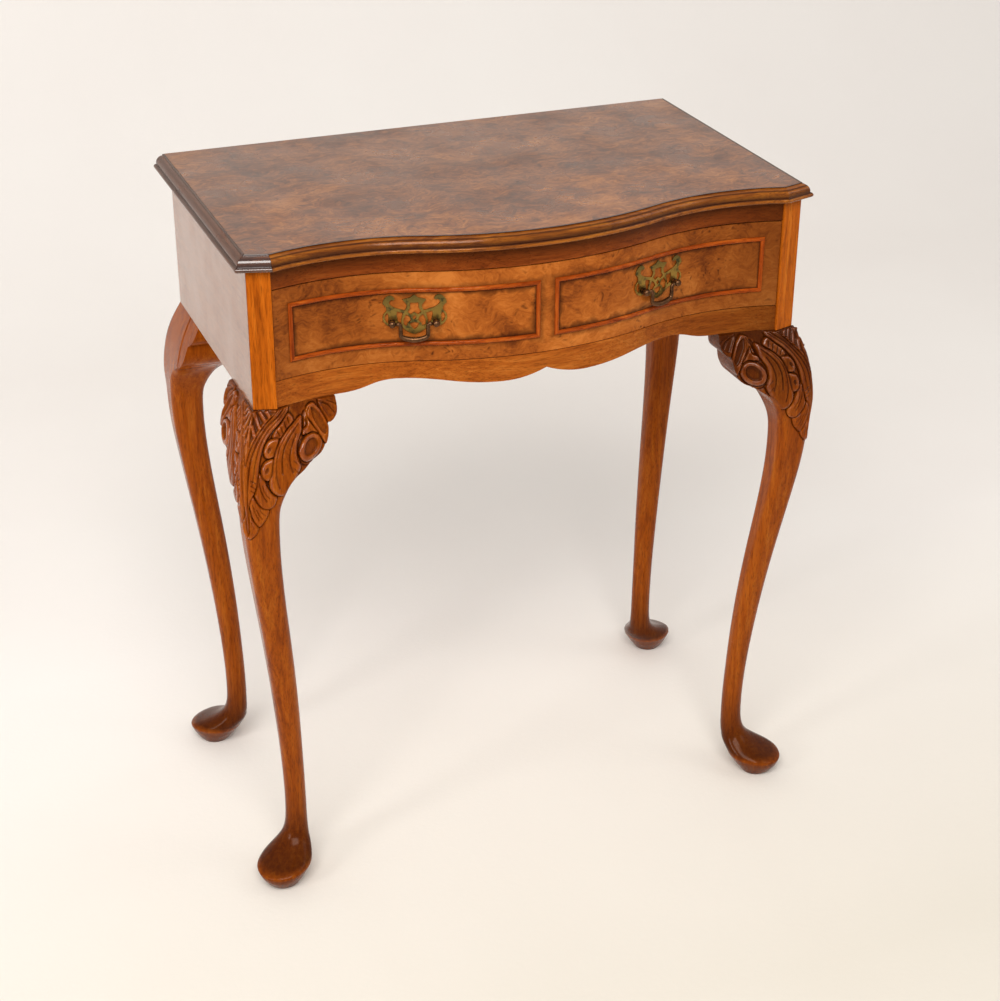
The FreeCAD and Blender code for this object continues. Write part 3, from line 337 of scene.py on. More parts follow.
def rubbed_bright(tree):
    """Polish is thickest and brightest on the parts of the carving that a duster rubs."""
    return between(tree, (add(tree, "Attribute", attribute_name="rubbed"), "Fac"), 0.0, 1.0, 0.12, 1.0)


def painted_shade_on_carving(tree, place):
    """Painted shade on the knees and where the carving is cut deep, and toner on the foot with a painted
    highlight at its rim.
    """
    return add(tree, "Attribute", attribute_name="recess"), "Fac"


# Stops in mm: up from the top of the case, then down from the top of the table
case_top, table_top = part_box("top_rail")[1].z / MM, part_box("top_panel")[1].z / MM
# Painted shade in the quirks of the moulding, lighter bands between them as painted highlight lines, and
# painted shadow on the rail under the moulding
QUIRK_SHADE_LOW = [(0, "#E0E0E0"), (1.2, "#303030"), (3.8, "#282828"), (4.8, "#F4F4F4"), (6.2, "#E4E4E4"),
              (8.5, "#B0B0B0")]
QUIRK_SHADE_HIGH = [(5, "#808080"), (4, "#000000"), (3.4, "#C0C0C0"), (2.8, "#F0F0F0"), (2.1, "#101010"),
               (1.2, "#000000"), (0.7, "#F0F0F0"), (0, "#F0F0F0")]
SHADOW_UNDER_TOP = [(24, "#888888"), (14, "#B8B8B8"), (3, "#E0E0E0"), (0, "#E8E8E8")]
painted_quirk_shade = by_height([(case_top + up, grey) for up, grey in QUIRK_SHADE_LOW]
                         + [(table_top - down, grey) for down, grey in QUIRK_SHADE_HIGH])
painted_shadow_under_top = by_height([(case_top - down, grey) for down, grey in SHADOW_UNDER_TOP])


def apron_painted_shade(tree, place):
    """Painted shade toward the right end only."""
    return painted_shade_toward_right(tree, place, 0.66)


def rail_painted_shade(tree, place):
    """Painted shadow under the moulding and painted shade toward the right end."""
    return reckon(tree, "MAXIMUM", painted_shadow_under_top(tree, place), painted_shade_toward_right(tree, place, 0.8))


# These heights span the painted shadow on the rail and the painted shade of the moulding
print("toner from %.1f to %.1f mm above the floor" % (case_top - SHADOW_UNDER_TOP[0][0], table_top))

# %% Walnut finishes
# The top rail is a darker, shaded copy of the rail's tones: painted shadow under the moulding
SHADED_TOP_RAIL_TONES = ("#783410", "#8C4014", "#984818", "#A65620")
RAIL_TONES = ("#844012", "#9A4E18", "#A6581C", "#B66828")
STILE_TONES = ("#92440A", "#AC540E", "#B95E13", "#C66F1F")
SIDE_TONES = ("#7C4418", "#844B1E", "#8A5023", "#90572A")
MOULDING_TONES = ("#5C2C0A", "#80430E", "#945212", "#AC681C")
SHADED_CORNER_TONES = ("#2E1408", "#46220C", "#562C10", "#683816")
MOULDING_SIDE_TONES = ("#301408", "#48220F", "#562C14", "#683A1C")
BEAD_TONES = ("#6E2806", "#8E3A0A", "#9E440E", "#B25A1A")
LEG_TONES = ("#763306", "#8A3F08", "#96480B", "#A65815")

# Rails and stiles glow orange, and the sides have the thickest polish, so they mirror the white corner
case_front = polished_walnut("walnut_apron", GRAIN_X, RAIL_TONES, shade=apron_painted_shade)
case_top_rail = polished_walnut("walnut_top_rail", GRAIN_X, SHADED_TOP_RAIL_TONES, shade=rail_painted_shade, mirror=0.3)
case_upright = polished_walnut("walnut_stiles", GRAIN_Z, STILE_TONES, mirror=0.12)
case_side = polished_walnut("walnut_sides", GRAIN_Y, SIDE_TONES, gloss=0.34, coat=1.0, mirror=0.5)
# Mouldings are darker and glossier, with painted shade in the quirks and painted highlight lines between
# them. The left corner is a darker, shaded copy, and the right corner takes the front's finish
moulding_front = polished_walnut(
    "walnut_moulding_front", GRAIN_X, MOULDING_TONES, gloss=0.14, coat=0.35, shade=painted_quirk_shade, mirror=0.25)
moulding_corner = polished_walnut(
    "walnut_moulding_corner", GRAIN_X, SHADED_CORNER_TONES, gloss=0.12, coat=1.0, shade=painted_quirk_shade,
    mirror=0.5, tint=CLEAR)
moulding_side = polished_walnut(
    "walnut_moulding_side", GRAIN_Y, MOULDING_SIDE_TONES, gloss=0.2, coat=0.1, shade=painted_quirk_shade, mirror=0.4)
# Beads were stained red, and legs were rubbed by hand; the carved legs take painted shade in their recesses
# and under the case
bead_level, bead_upright = (
    polished_walnut("walnut_beads_" + way, grain, BEAD_TONES, streak=3.0, gloss=0.18, coat=0.12)
    for way, grain in (("level", GRAIN_X), ("upright", GRAIN_Z)))
leg_wood = polished_walnut("walnut_legs", GRAIN_Z, LEG_TONES, streak=4.5, gloss=0.25, mirror=0.08)
carved_wood = polished_walnut(
    "walnut_carved", GRAIN_Z, LEG_TONES, streak=4.5, gloss=0.2, coat=rubbed_bright, shade=painted_shade_on_carving,
    mirror=0.08)
print("walnut finishes ready")

# %% [markdown]
# ## Burr walnut veneer
# A burr is a knotted growth, so its veneer has no straight grain: it shows soft dark and light clouds, curled
# feathery strokes a few millimetres apart, and clusters of tiny dark eyes. Warping the coordinates with one
# noise before reading the others makes strokes and clouds swirl together, as they do in the wood.

# %% Burr veneers
BURR_EYE = "#2E1206"
BURR_STOPS = (0.4, 0.47, 0.53, 0.61)
# How far the swirls shift the figure, in metres
SWIRL = (0.07, 0.07, 0.07)
# In mm: sizes of swirls, clouds, eyes and clusters of eyes, and the width and length of a flame
SWIRL_SIZE, CLOUD_SIZE, EYE_SIZE, CLUSTER_SIZE, FLAME = 60, 80, 6.5, 38, (13, 32.5)
FEATHER_STRETCH, FEATHER_DEPTH = 5, 0.00004
# Middle of a bead from the edge of its frame in mm, and the least and the most that its painted shade reaches
# out
BEAD_INSET, SHADE_REACH = 2.4, (5 * MM, 13 * MM)
# Painted shade beside the beads, its share outside their frames, and painted shade over both ends of the
# front
BEAD_SHADE, OUTSIDE_SHARE, END_SHADE = 0.92, 0.55, 0.24


def painted_shade_by_beads(tree, place):
    """Painted shade along the bead frames, strongest inside them, and thinly over both ends of the front."""
    left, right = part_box("bead_right_inner")[0].x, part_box("bead_right_outer")[1].x
    low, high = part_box("bead_right_bottom")[0].z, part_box("bead_right_top")[1].z
    aside = reckon(tree, "ABSOLUTE", axis_of(tree, place, "X"))
    edges = []
    for value, start, end in ((aside, left, right), (axis_of(tree, place, "Z"), low, high)):
        off = reckon(tree, "ABSOLUTE", reckon(tree, "SUBTRACT", value, (start + end) / 2))
        edges.append(reckon(tree, "SUBTRACT", off, (end - start) / 2 - BEAD_INSET * MM))
    inward = reckon(tree, "MAXIMUM", *edges)
    away = reckon(tree, "ABSOLUTE", inward)
    reach = between(tree, noise(tree, place, 16, 3.0), 0.35, 0.65, *SHADE_REACH)
    corner = between(tree, away, BEAD_INSET * MM, reach, BEAD_SHADE, 0.0)
    side = between(tree, inward, -1 * MM, 2 * MM, 1.0, OUTSIDE_SHARE)
    corner = reckon(tree, "MULTIPLY", corner, side)
    panel = between(tree, aside, 0.06, 0.2, 0.0, END_SHADE)
    panel = reckon(tree, "MAXIMUM", panel, painted_shade_toward_right(tree, place, 0.6))
    return reckon(tree, "MAXIMUM", corner, panel)


def painted_shade_at_back(tree, place):
    """Painted shade: the back of the top is a little darker than its front."""
    return between(tree, axis_of(tree, place, "Y"), -0.15, 0.05, 0.0, 0.24)


def burr_veneer(name, tones, feather, eye_share, gloss, coat, shade, mirror=0.5, mix=(0.28, 0.36, 0.36)):
    """Veneer cut from a burr. Tones run from dark to light; the mix is feathers, flames and clouds."""
    material, tree, place = new_finish(name)
    swirl = noise(tree, place, SWIRL_SIZE, 3.0, Roughness=0.6)
    curled = add(tree, "VectorMath", {0: (swirl, "Color"), 1: SWIRL, 2: place}, operation="MULTIPLY_ADD")
    clouds = noise(tree, curled, CLOUD_SIZE, 4.0, Roughness=0.55)
    flames = grain_noise(tree, curled, GRAIN_X, *FLAME, 5.0, 0.7, 0.68)
    feathers = grain_noise(tree, curled, GRAIN_X, feather, FEATHER_STRETCH * feather, 3.0)
    figure = weighed(tree, (feathers, flames, clouds), mix)
    ground = add(tree, "ValToRGB", {"Fac": figure}, stops=list(zip(BURR_STOPS, tones)))
    eyes = add(tree, "TexVoronoi", {"Vector": curled, "Scale": 1 / (EYE_SIZE * MM)})
    eyes = between(tree, eyes, 0.1, 0.4, 1.0, 0.0)
    cluster = between(tree, noise(tree, place, CLUSTER_SIZE, 2.0), 0.48, 0.64, 0.0, eye_share)
    dark = reckon(tree, "MULTIPLY", eyes, cluster)
    colour = under_painted_shade(tree, place, blend(tree, dark, ground, linear(BURR_EYE)), shade)
    lay_on(tree, colour, hand_polish(tree, place, 70, gloss), feathers, FEATHER_DEPTH, Coat_Weight=coat,
           Coat_Roughness=COAT_ROUGHNESS, Specular_Tint=linear(AMBER), Specular_IOR_Level=mirror)
    return material


TOP_TONES = ("#3C1C09", "#653514", "#824A1D", "#A4662E")
FRONT_TONES = ("#743812", "#984F1A", "#AC5E22", "#C27230")
burr_top = burr_veneer("burr_walnut_top", TOP_TONES, 2.8, 0.4, 0.3, 0.35, painted_shade_at_back)
burr_front = burr_veneer("burr_walnut_front", FRONT_TONES, 2.6, 0.7, 0.27, 0.1, painted_shade_by_beads, 0.1,
                         (0.2, 0.22, 0.58))
print("burr finishes ready")

# %% [markdown]
# ## Plain carcase wood
# Nobody polished the runners, the drawer's sides or the blocks inside. They are dry, pale, straight-grained
# wood that has yellowed, so they share the streaks of the walnut without its polish.

# %% Carcase wood
CARCASE_TONES = ("#8A6238", "#A57C4C", "#B68E5C", "#C7A474")
carcase = {axis: polished_walnut("sawn_carcase_wood_" + axis, grain, CARCASE_TONES, streak=5.0, gloss=0.55)
           for axis, grain in (("x", GRAIN_X), ("y", GRAIN_Y), ("z", GRAIN_Z))}
print("carcase finishes ready")

# %% [markdown]
# ## Brass, bronze and steel
# The pierced plates are cast brass that has gone green and brown in the hollows and stays gold where hands
# rub it. Posts and bails are brass darkened to bronze. A metal keeps its colour in the reflection, so each
# tone sits in the base colour with metallic at 1, and patina is a rougher, darker patch in the same shader.

# %% Metals
# Patina begins at this noise, less its share of the range, with a soft edge
PATINA_EDGE, PATINA_RANGE, PATINA_SOFT = 0.62, 0.3, 0.2
# The skin of the casting: grain in mm, depth in metres
CAST_GRAIN, CAST_DEPTH = 0.9, 0.00005


def aged_metal(name, bright, dull, patina_size, rough_bright, rough_dull, patina_share, shade=None):
    """Metal with patches of patina. The share of patina runs from 0 to 1."""
    material, tree, place = new_finish(name)
    edge = PATINA_EDGE - PATINA_RANGE * patina_share
    patina = between(tree, noise(tree, place, patina_size, 4.0, Roughness=0.65), edge, edge + PATINA_SOFT)
    if shade:
        patina = reckon(tree, "MAXIMUM", patina, shade(tree, place))
    colour = blend(tree, patina, linear(bright), linear(dull))
    rough = between(tree, patina, 0.0, 1.0, rough_bright, rough_dull)
    lay_on(tree, colour, rough, noise(tree, place, CAST_GRAIN, 2.0), CAST_DEPTH, Metallic=1.0)
    return material


plate_low, plate_high = (corner.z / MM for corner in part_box("handle_plate_left"))
unrubbed = by_height([(plate_low, "#B0B0B0"), (plate_low + 9, "#404040"), (plate_low + 22, "#202020"),
                      (plate_high - 10, "#A0A0A0"), (plate_high, "#E0E0E0")])
brass = aged_metal("cast_brass_aged", "#AE8A42", "#4E4A2E", 8.0, 0.3, 0.48, 0.55, unrubbed)
bronze = aged_metal("bronze_darkened", "#6A4A32", "#38261A", 5.0, 0.36, 0.42, 0.4)
steel = aged_metal("screw_steel", "#9A978F", "#5C5852", 3.0, 0.35, 0.5, 0.4)
print("metals ready")

# %% [markdown]
# ## The leaf on the knee
# Each front leg was sawn to its S-shape, glued between two ears, and carved over the whole knee with an
# acanthus leaf: reeds sweep down to the ridge, leaflets turn out in steps, and the ear ends in a rolled
# volute. A carver draws the leaf flat on the knee and cuts along the lines, and so does this lesson. The
# drawing is in millimetres, across from the ridge and down from the case, the same on both faces of a knee.

# %% The leaf drawn flat
# Each leaf: outline, level, crown, and width of its rounded edge
LEAVES = [
    # Tip of the leaf on the ridge
    ([(-9, 96), (2, 99), (5, 109), (10, 115), (13, 121), (11, 127), (7, 131.5), (0, 135), (-9, 133)],
     0.9, 0.5, 2.2),
    # Third and second lobes, the lower ones
    ([(2, 80), (10, 84), (14, 91), (19, 98), (25, 101), (25, 105), (23, 110), (19.5, 115.5), (14, 120.5),
      (10.5, 117), (7, 109), (5, 100), (2, 90)], 1.2, 0.7, 3.0),
    ([(14, 60), (22, 66), (25, 76), (30, 84), (34.5, 89), (33.5, 94.5), (30, 99.5), (24, 101.5), (18, 98.5),
      (14, 92), (11.5, 85), (12.5, 75)], 1.5, 0.8, 3.2),
    # Reeds that sweep from the case to the ridge, with the notched leaf beside them
    ([(-9, -6), (30, -6), (37.5, 6), (30, 14), (25, 20), (20.5, 28), (17.5, 37), (15.8, 48), (15.2, 62),
      (14, 72), (11.5, 80), (7, 88), (3.8, 96), (2.2, 110), (1.2, 126), (-9, 128)], 1.4, 0.5, 2.5),
    ([(38, 7), (46, 14), (40, 21), (34, 28.5), (26, 27), (27, 20), (32, 14)], 1.3, 0.4, 2.0),
    # Two leaflets between the reeds and the broad leaf
    ([(33, 29), (27, 27.5), (22, 29.5), (19.5, 34), (19, 40), (22, 45.5), (28, 46.5), (32, 43)],
     1.5, 0.8, 2.6),
    ([(32, 48), (23, 48.5), (19.3, 52), (18, 59), (20, 66), (25.5, 69.5), (31, 67)], 1.5, 0.8, 2.6),
    # Broad leaf
    ([(53, 12), (46, 17.5), (39, 23), (34, 31), (31, 41), (30, 52), (29.3, 63), (27, 71), (28, 78),
      (31, 83.5), (36, 87.5), (42, 87.5), (47, 82), (52, 75), (57, 67), (60, 60), (57.5, 52), (54.5, 45),
      (53.5, 37), (55.5, 30), (57.5, 24), (56.5, 16)], 2.0, 0.7, 3.4),
    # Volute of the ear
    ([(83.5, 43.5), (81.7, 50.2), (76.8, 55.2), (70, 57), (63.2, 55.2), (58.3, 50.2), (56.5, 43.5),
      (58.3, 36.8), (63.2, 31.8), (70, 30), (76.8, 31.8), (81.7, 36.8)], 2.2, 0.5, 3.0),
    # Tip of the ear, its petal, and the thumb between petal and volute
    ([(70, -6), (99, -6), (99, 12), (97, 22), (92, 25.5), (87, 26), (81, 19), (74, 10)], 1.1, 0.6, 2.6),
    ([(58.5, 6), (64, 3), (70, 7), (77, 13), (83, 20), (88, 27), (93, 36), (90, 46), (84, 40), (80, 35),
      (74, 29), (68, 22), (61.5, 15)], 1.8, 0.5, 1.6),
    ([(59.5, 30), (58.5, 25), (63, 22.5), (61.5, 16), (66, 20), (72, 26), (78, 32.5), (70, 30)],
     1.5, 0.6, 1.8),
]
# Hollows scooped with a gouge: outline and depth
HOLLOWS = [
    ([(2.5, 2), (22, 2), (15.5, 10.5), (10.5, 18.5), (5.5, 27), (2.5, 33)], 1.5),
    ([(63, 7), (69, 9), (76, 15), (82, 22), (86.5, 29), (86, 35), (81, 32), (75, 25.5), (68.5, 18)], 1.9),
    ([(71, 3), (80, 5), (91, 11), (93, 17), (88, 20.5), (82, 15.5)], 1.3),
    ([(5, 113), (8.5, 119), (8.5, 123), (5, 128.5), (3.2, 121)], 1.0),
    ([(54.5, 9), (58.5, 8), (59.5, 14), (60, 21), (57.5, 26), (55, 20)], 1.6),
    ([(22, 36), (25, 34.5), (26.5, 37.5), (24, 41), (22, 40)], 1.2),
    ([(22, 56), (25, 54.5), (26.5, 58), (24, 62), (21.5, 60)], 1.2),
    ([(22.5, 69), (27, 71), (27.5, 76.5), (24, 75)], 1.6),
    ([(10, 83), (13, 85.5), (14, 90), (11, 88)], 1.3),
    ([(79, 43.5), (77.5, 48), (74, 51.3), (69.5, 52), (65, 50.5), (62, 47), (61.3, 42.5), (63, 38), (67, 35),
      (72, 35), (76.5, 37.8)], 1.9),
]
# Slanted bars left standing in the first hollow
BARS = [[(3, 15), (6.5, 23)], [(2.5, 4), (10.5, 17)], [(7.5, 3), (14.5, 11)], [(13.5, 2.5), (17.5, 7)]]
# Grooves: line, half width and depth
GROOVES = [
    # Between the reeds
    ([(25, 0), (17, 12), (12, 20), (7, 29), (3.2, 40), (0.4, 51)], 1.5, 1.3),
    ([(31, 2), (23, 10), (18, 16), (13, 25), (9, 34), (6, 45), (4.6, 60), (3.8, 75), (2.8, 90), (1.8, 109),
      (1, 131)], 1.6, 1.4),
    ([(34.5, 3), (27, 11), (22, 17), (17, 26), (13.2, 36), (11, 47), (10, 60), (8.8, 72)], 1.1, 0.8),
    ([(28, 0.5), (20, 11), (15, 18), (10, 27), (6, 37), (3.2, 48), (2.4, 60), (1.6, 84)], 0.9, 0.6),
    # Notches and stitches
    ([(38, 11), (41.5, 16.5)], 1.1, 1.3),
    ([(35, 14), (38.8, 20)], 1.1, 1.3),
    ([(32, 17.5), (36, 23.5)], 1.1, 1.3),
    ([(29, 20.5), (33.5, 26)], 1.1, 1.3),
    ([(7.5, 66), (12.5, 70)], 0.9, 1.0),
    ([(7.5, 71.5), (13, 76)], 0.9, 1.0),
    ([(7.5, 76.5), (12.5, 81)], 0.9, 1.0),
    # Veins of the broad leaf
    ([(51, 15), (43.5, 21.5), (37, 31), (34, 42), (33.2, 54), (34.5, 68), (37.5, 79)], 1.3, 1.1),
    ([(51.5, 18.5), (45.5, 26), (41, 34), (39.2, 43), (39, 52), (40.5, 64)], 1.4, 1.2),
    ([(50.5, 27), (47.8, 36), (46.6, 46), (48, 55), (51.5, 64)], 1.3, 1.1),
    ([(51.5, 52), (56.5, 57)], 0.9, 0.8),
    ([(52, 60), (56.5, 65)], 0.9, 0.8),
    # Veins of the second and third lobes
    ([(15.2, 62), (16.8, 74), (19.5, 83), (23.5, 91.5)], 1.2, 1.2),
    ([(19.5, 73), (22, 81), (26.5, 88.5)], 1.0, 0.9),
    ([(8.5, 93), (10, 102), (13.5, 112.5)], 0.9, 0.9),
    ([(12, 99), (14, 106), (17, 111.5)], 0.9, 0.9),
    ([(15.5, 100.5), (18, 105), (20.5, 108)], 0.8, 0.8),
    # Petal and tip of the ear
    ([(60.5, 6.5), (60.5, 14), (62.5, 20.5)], 1.2, 1.4),
    ([(76, 5), (84, 9), (92, 16)], 1.0, 0.9),
    ([(80, 4), (88, 7), (95, 11)], 0.9, 0.8),
    # Groove round the volute
    ([(78, 60), (66, 60.5), (57.5, 54), (54.8, 45), (56.5, 36), (62, 29.5)], 1.6, 1.5),
]
print("leaf drawing:", len(LEAVES), "leaves,", len(HOLLOWS), "hollows,", len(GROOVES), "grooves")

# %% [markdown]
# ## From drawing to relief
# The relief is a height at each spot of the knee. Leaves are laid over each other in order, each with a
# crowned top and a sunk line round it, then hollows and grooves are cut. Spots that lie lower than what is
# around them get painted shade, and comparing the relief with a blurred copy of itself finds them.


# %% Lines and areas of the drawing
def rounded_line(points, closed=False, share=6):
    """A smooth line through given points."""
    spots = np.array(points, float)
    if closed:
        spots = np.vstack([spots[-1:], spots, spots[:2]])
    else:
        spots = np.vstack([2 * spots[0] - spots[1], spots, 2 * spots[-1] - spots[-2]])
    made = []
    for before, start, end, after in zip(spots, spots[1:], spots[2:], spots[3:]):
        for t in np.arange(share) / share:
            made.append(0.5 * (2 * start + (end - before) * t
                               + (2 * before - 5 * start + 4 * end - after) * t ** 2
                               + (3 * start - before - 3 * end + after) * t ** 3))
    made.append(spots[-2])
    return np.array(made)


def distance_to(line, spots):
    """How far each spot lies from a line."""
    best = np.full(len(spots), 1000.0)
    for start, end in zip(line, line[1:]):
        along = end - start
        t = np.clip((spots - start) @ along / max(along @ along, 1e-9), 0, 1)
        best = np.minimum(best, np.hypot(*(spots - start - t[:, None] * along).T))
    return best


def inside(line, spots):
    """Which spots lie within a closed line."""
    odd = np.zeros(len(spots), bool)
    for start, end in zip(line, line[1:]):
        if start[1] != end[1]:
            spans = (start[1] > spots[:, 1]) != (end[1] > spots[:, 1])
            share = (spots[:, 1] - start[1]) / (end[1] - start[1])
            odd ^= spans & (spots[:, 0] < start[0] + share * (end[0] - start[0]))
    return odd


def drawn(points, spots, reach=4.0, **how):
    """A line through given points, the spots close enough to be touched by it, and how far they are."""
    line = rounded_line(points, **how)
    part = np.flatnonzero(((spots > line.min(0) - reach) & (spots < line.max(0) + reach)).all(1))
    return line, part, distance_to(line, spots[part])


print("drawing tools ready")

# %% Relief of the leaf
LINE_SINK, LINE_WIDTH, EDGE_DROP = 1.1, 1.3, 1.0
GOUGE_EDGE, GROOVE_SHARPNESS, RELIEF_GAIN = 2.2, 1.3, 1.3
# The foot of a bar is counted in slopes
BAR_FOOT, BAR_SLOPE, BAR_HEIGHT = 2.1, 0.9, 1.7


def relief(spots):
    """Height in mm at each spot of the knee drawing."""
    height = np.zeros(len(spots))
    for outline, level, crown, edge in LEAVES:
        line, part, away = drawn(outline, spots, closed=True)
        rounded = 1 - np.clip(away / edge, 0, 1)
        sunk = np.exp(-(away / LINE_WIDTH) ** 2)
        leaf = level + crown - (crown + EDGE_DROP) * rounded ** 2
        height[part] = np.where(inside(line, spots[part]), leaf, height[part] - LINE_SINK * sunk)
    for outline, depth in HOLLOWS:
        line, part, away = drawn(outline, spots, closed=True)
        bowl = 1 - (1 - np.clip(away / GOUGE_EDGE, 0, 1)) ** 2
        height[part] -= depth * np.where(inside(line, spots[part]), bowl, 0)
    for bar in BARS:
        _, part, away = drawn(bar, spots, share=2)
        height[part] += BAR_HEIGHT * np.clip(BAR_FOOT - away / BAR_SLOPE, 0, 1)
    for points, width, depth in GROOVES:
        _, part, away = drawn(points, spots)
        height[part] -= depth * np.clip(1 - away / width, 0, 1) ** GROOVE_SHARPNESS
    return RELIEF_GAIN * height


def lies_below(height, rounds=36):
    """How far each spot of a grid lies below what is around it, in mm: where painted shade goes."""
    around = height
    for _ in range(rounds):
        wide = np.pad(around, 1, mode="edge")
        around = (around + wide[:-2, 1:-1] + wide[2:, 1:-1] + wide[1:-1, :-2] + wide[1:-1, 2:]) / 5
    return around - height


print("relief ready")

# %% [markdown]
# ## The pattern of a cabriole leg
# A cabriole leg is drawn with two curves, an outer and an inner line, and its section goes from nearly square
# at the knee to round at the ankle. A bent rule through a few pattern points draws such lines on the real
# board, and a natural cubic spline is the same curve in numbers.


# %% Bent rule
def bent_rule(points):
    """A smooth curve through pattern points, as a function of the first coordinate."""
    at, value = np.array(points, float).T
    gap = np.diff(at)
    slope = np.diff(value) / gap
    size = len(at)
    matrix = np.eye(size)
    want = np.zeros(size)
    for i in range(1, size - 1):
        matrix[i, i - 1:i + 2] = gap[i - 1], 2 * (gap[i - 1] + gap[i]), gap[i]
        want[i] = 6 * (slope[i] - slope[i - 1])
    bend = np.linalg.solve(matrix, want)

    def read(x):
        x = np.asarray(x, float)
        i = np.clip(np.searchsorted(at, x) - 1, 0, size - 2)
        low, high = at[i + 1] - x, x - at[i]
        return ((bend[i] * low ** 3 + bend[i + 1] * high ** 3) / (6 * gap[i])
                + (value[i] / gap[i] - bend[i] * gap[i] / 6) * low
                + (value[i + 1] / gap[i] - bend[i + 1] * gap[i] / 6) * high)

    return read


def ease_in(low, high, x):
    """From 0 to 1 while x goes from low to high, soft at both ends."""
    t = np.clip((np.asarray(x, float) - low) / (high - low), 0, 1)
    return t * t * (3 - 2 * t)


print("bent rule ready")

# %% Pattern of the leg
# By drop below the case, in mm: outer line, its end under the rim, inner line, and radius of the outer ridge
LEG_OUTER = bent_rule([
    (0, 0), (25, 11), (50, 17.9), (69, 20.7), (87, 21.6), (106, 20.6), (125, 20.1), (194, 13.6), (294, 0.3),
    (406, -11.6), (470, -15.8), (515, -16.6), (535, -14.8), (545, -11), (553, -3.5), (559, 5.5), (564, 14.5),
    (568, 21.5), (571, 25.2)])
LIP = bent_rule([(571, 25.2), (572.3, 26), (575, 25.8), (581, 23.4), (588, 19.2), (592, 16.4), (595, 13.6)])
LEG_INNER = bent_rule([
    (40, 92), (50, 70), (58, 56), (64, 46.5), (70, 38), (78, 30.5), (87, 25.5), (106, 19), (125, 17.1),
    (194, 19.2), (294, 29.1), (406, 37.4), (470, 40), (515, 40.8), (535, 40.8), (550, 40.6), (560, 39.2),
    (568, 36), (576, 31.5), (584, 26.8), (590, 23.3), (595, 20.5)])
RIDGE_ROUND = bent_rule([
    (0, 4), (30, 7), (60, 9.5), (87, 10.5), (125, 9.7), (194, 9.5), (294, 11), (406, 11.6), (510, 12.2),
    (535, 14), (550, 20), (560, 26), (572, 30), (595, 20)])
# Drops where the square of the knee ends and where the leg is round, the square's width and its inner rounds
SQUARE_DROP, ROUND_DROP, LEG_SQUARE, INNER_ROUND = 58.0, 125, 56.0, 3
# The pad foot: where its rim is, where its top begins, how deep that is dished, how far it tilts to the toe
RIM_DROP, INSTEP_DROP, DISH, TILT = 571.0, 540.0, 3.0, 5.5
# The heel tilts by this share of that, and is filled out by drop
HEEL_TILT = 0.3
HEEL = [(550, 0), (562, 1.6), (573, 3.8), (582, 2.8), (590, 1.0), (595, 0)]
# How far the front of the case lies behind the leg's corner, by distance in from the side of the case
CASE_LINE = bent_rule([
    (-30, 4.4), (0, 4.4), (12, 1.2), (22, -1.6), (30, 1.4), (40, 4.8), (60, 8.4), (75, 10.1), (92, 11.2)])

LEG_TOP = round(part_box("apron")[0].z / MM)


def top_of(node):
    """The points of a leg's top, under the case."""
    return [v.co for v in nodes[node].data.vertices if v.co.z > (LEG_TOP - 0.1) * MM]


CORNER_X = max(spot.x for spot in top_of("leg_front_right")) / MM
CORNER_Y = min(spot.y for spot in top_of("leg_front_right")) / MM
BACK_Y = max(spot.y for spot in top_of("leg_back_right")) / MM
print("leg corner at %.2f, %.2f, %.0f mm" % (CORNER_X, CORNER_Y, LEG_TOP))

# %% [markdown]
# ## Carving the legs and ears
# Rings of points follow the pattern from the case to the floor, close together where the knife cuts and wide
# apart elsewhere. An ear is a tube of rings as well, from its glue line to its tip. The relief then pushes
# the points of the two outer faces in or out, square to the plain surface.

# %% Rings of a leg
OUTSIDE_POINTS, INSIDE_POINTS = 250, 60
QUARTER = np.linspace(0, math.pi / 2, 13)
# A radius stays just under half of the section
HALF = 0.49


def evenly(line, count):
    """Points at equal steps along a line, whose first two columns are its place."""
    walked = np.concatenate([[0], np.cumsum(np.hypot(*np.diff(line[:, :2], axis=0).T))])
    stops = np.linspace(0, walked[-1], count)
    return np.stack([np.interp(stops, walked, column) for column in line.T], 1)


def leg_ring(drop):
    """One ring of a plain leg: in along the front, in along the side, turn from front to side, lean."""
    s = float(LEG_OUTER(drop) if drop < RIM_DROP else LIP(drop))
    inner = LEG_SQUARE if drop < SQUARE_DROP else min(LEG_SQUARE, float(LEG_INNER(drop)))
    most = HALF * (s + inner)
    r = min(float(RIDGE_ROUND(drop)), most)
    q = min(INNER_ROUND + (r - INNER_ROUND) * float(ease_in(SQUARE_DROP, ROUND_DROP, drop)), most)
    ridge = np.stack([r - s - r * np.sin(QUARTER), r - s - r * np.cos(QUARTER), QUARTER], 1)
    outside = np.vstack([[(inner - q, -s, 0)], ridge, [(-s, inner - q, math.pi / 2)]])
    outside = evenly(outside, OUTSIDE_POINTS)
    sine, cosine = q * np.sin(QUARTER), q * np.cos(QUARTER)
    inside_line = np.vstack([np.stack([q - s - cosine, inner - q + sine, 0 * QUARTER], 1),
                             np.stack([inner - q + sine, inner - q + cosine, 0 * QUARTER], 1),
                             np.stack([inner - q + cosine, q - s - sine, 0 * QUARTER + 1], 1)])
    inside_line = evenly(inside_line, INSIDE_POINTS + 2)[1:-1]
    place = np.vstack([outside[:, :2], inside_line[:, :2]])
    turn = np.concatenate([outside[:, 2], np.zeros(INSIDE_POINTS)])
    lean = np.concatenate([np.cos(outside[:, 2]) ** 2, inside_line[:, 2]])
    return np.column_stack([place, turn, lean])


print("a ring has", OUTSIDE_POINTS + INSIDE_POINTS, "points")

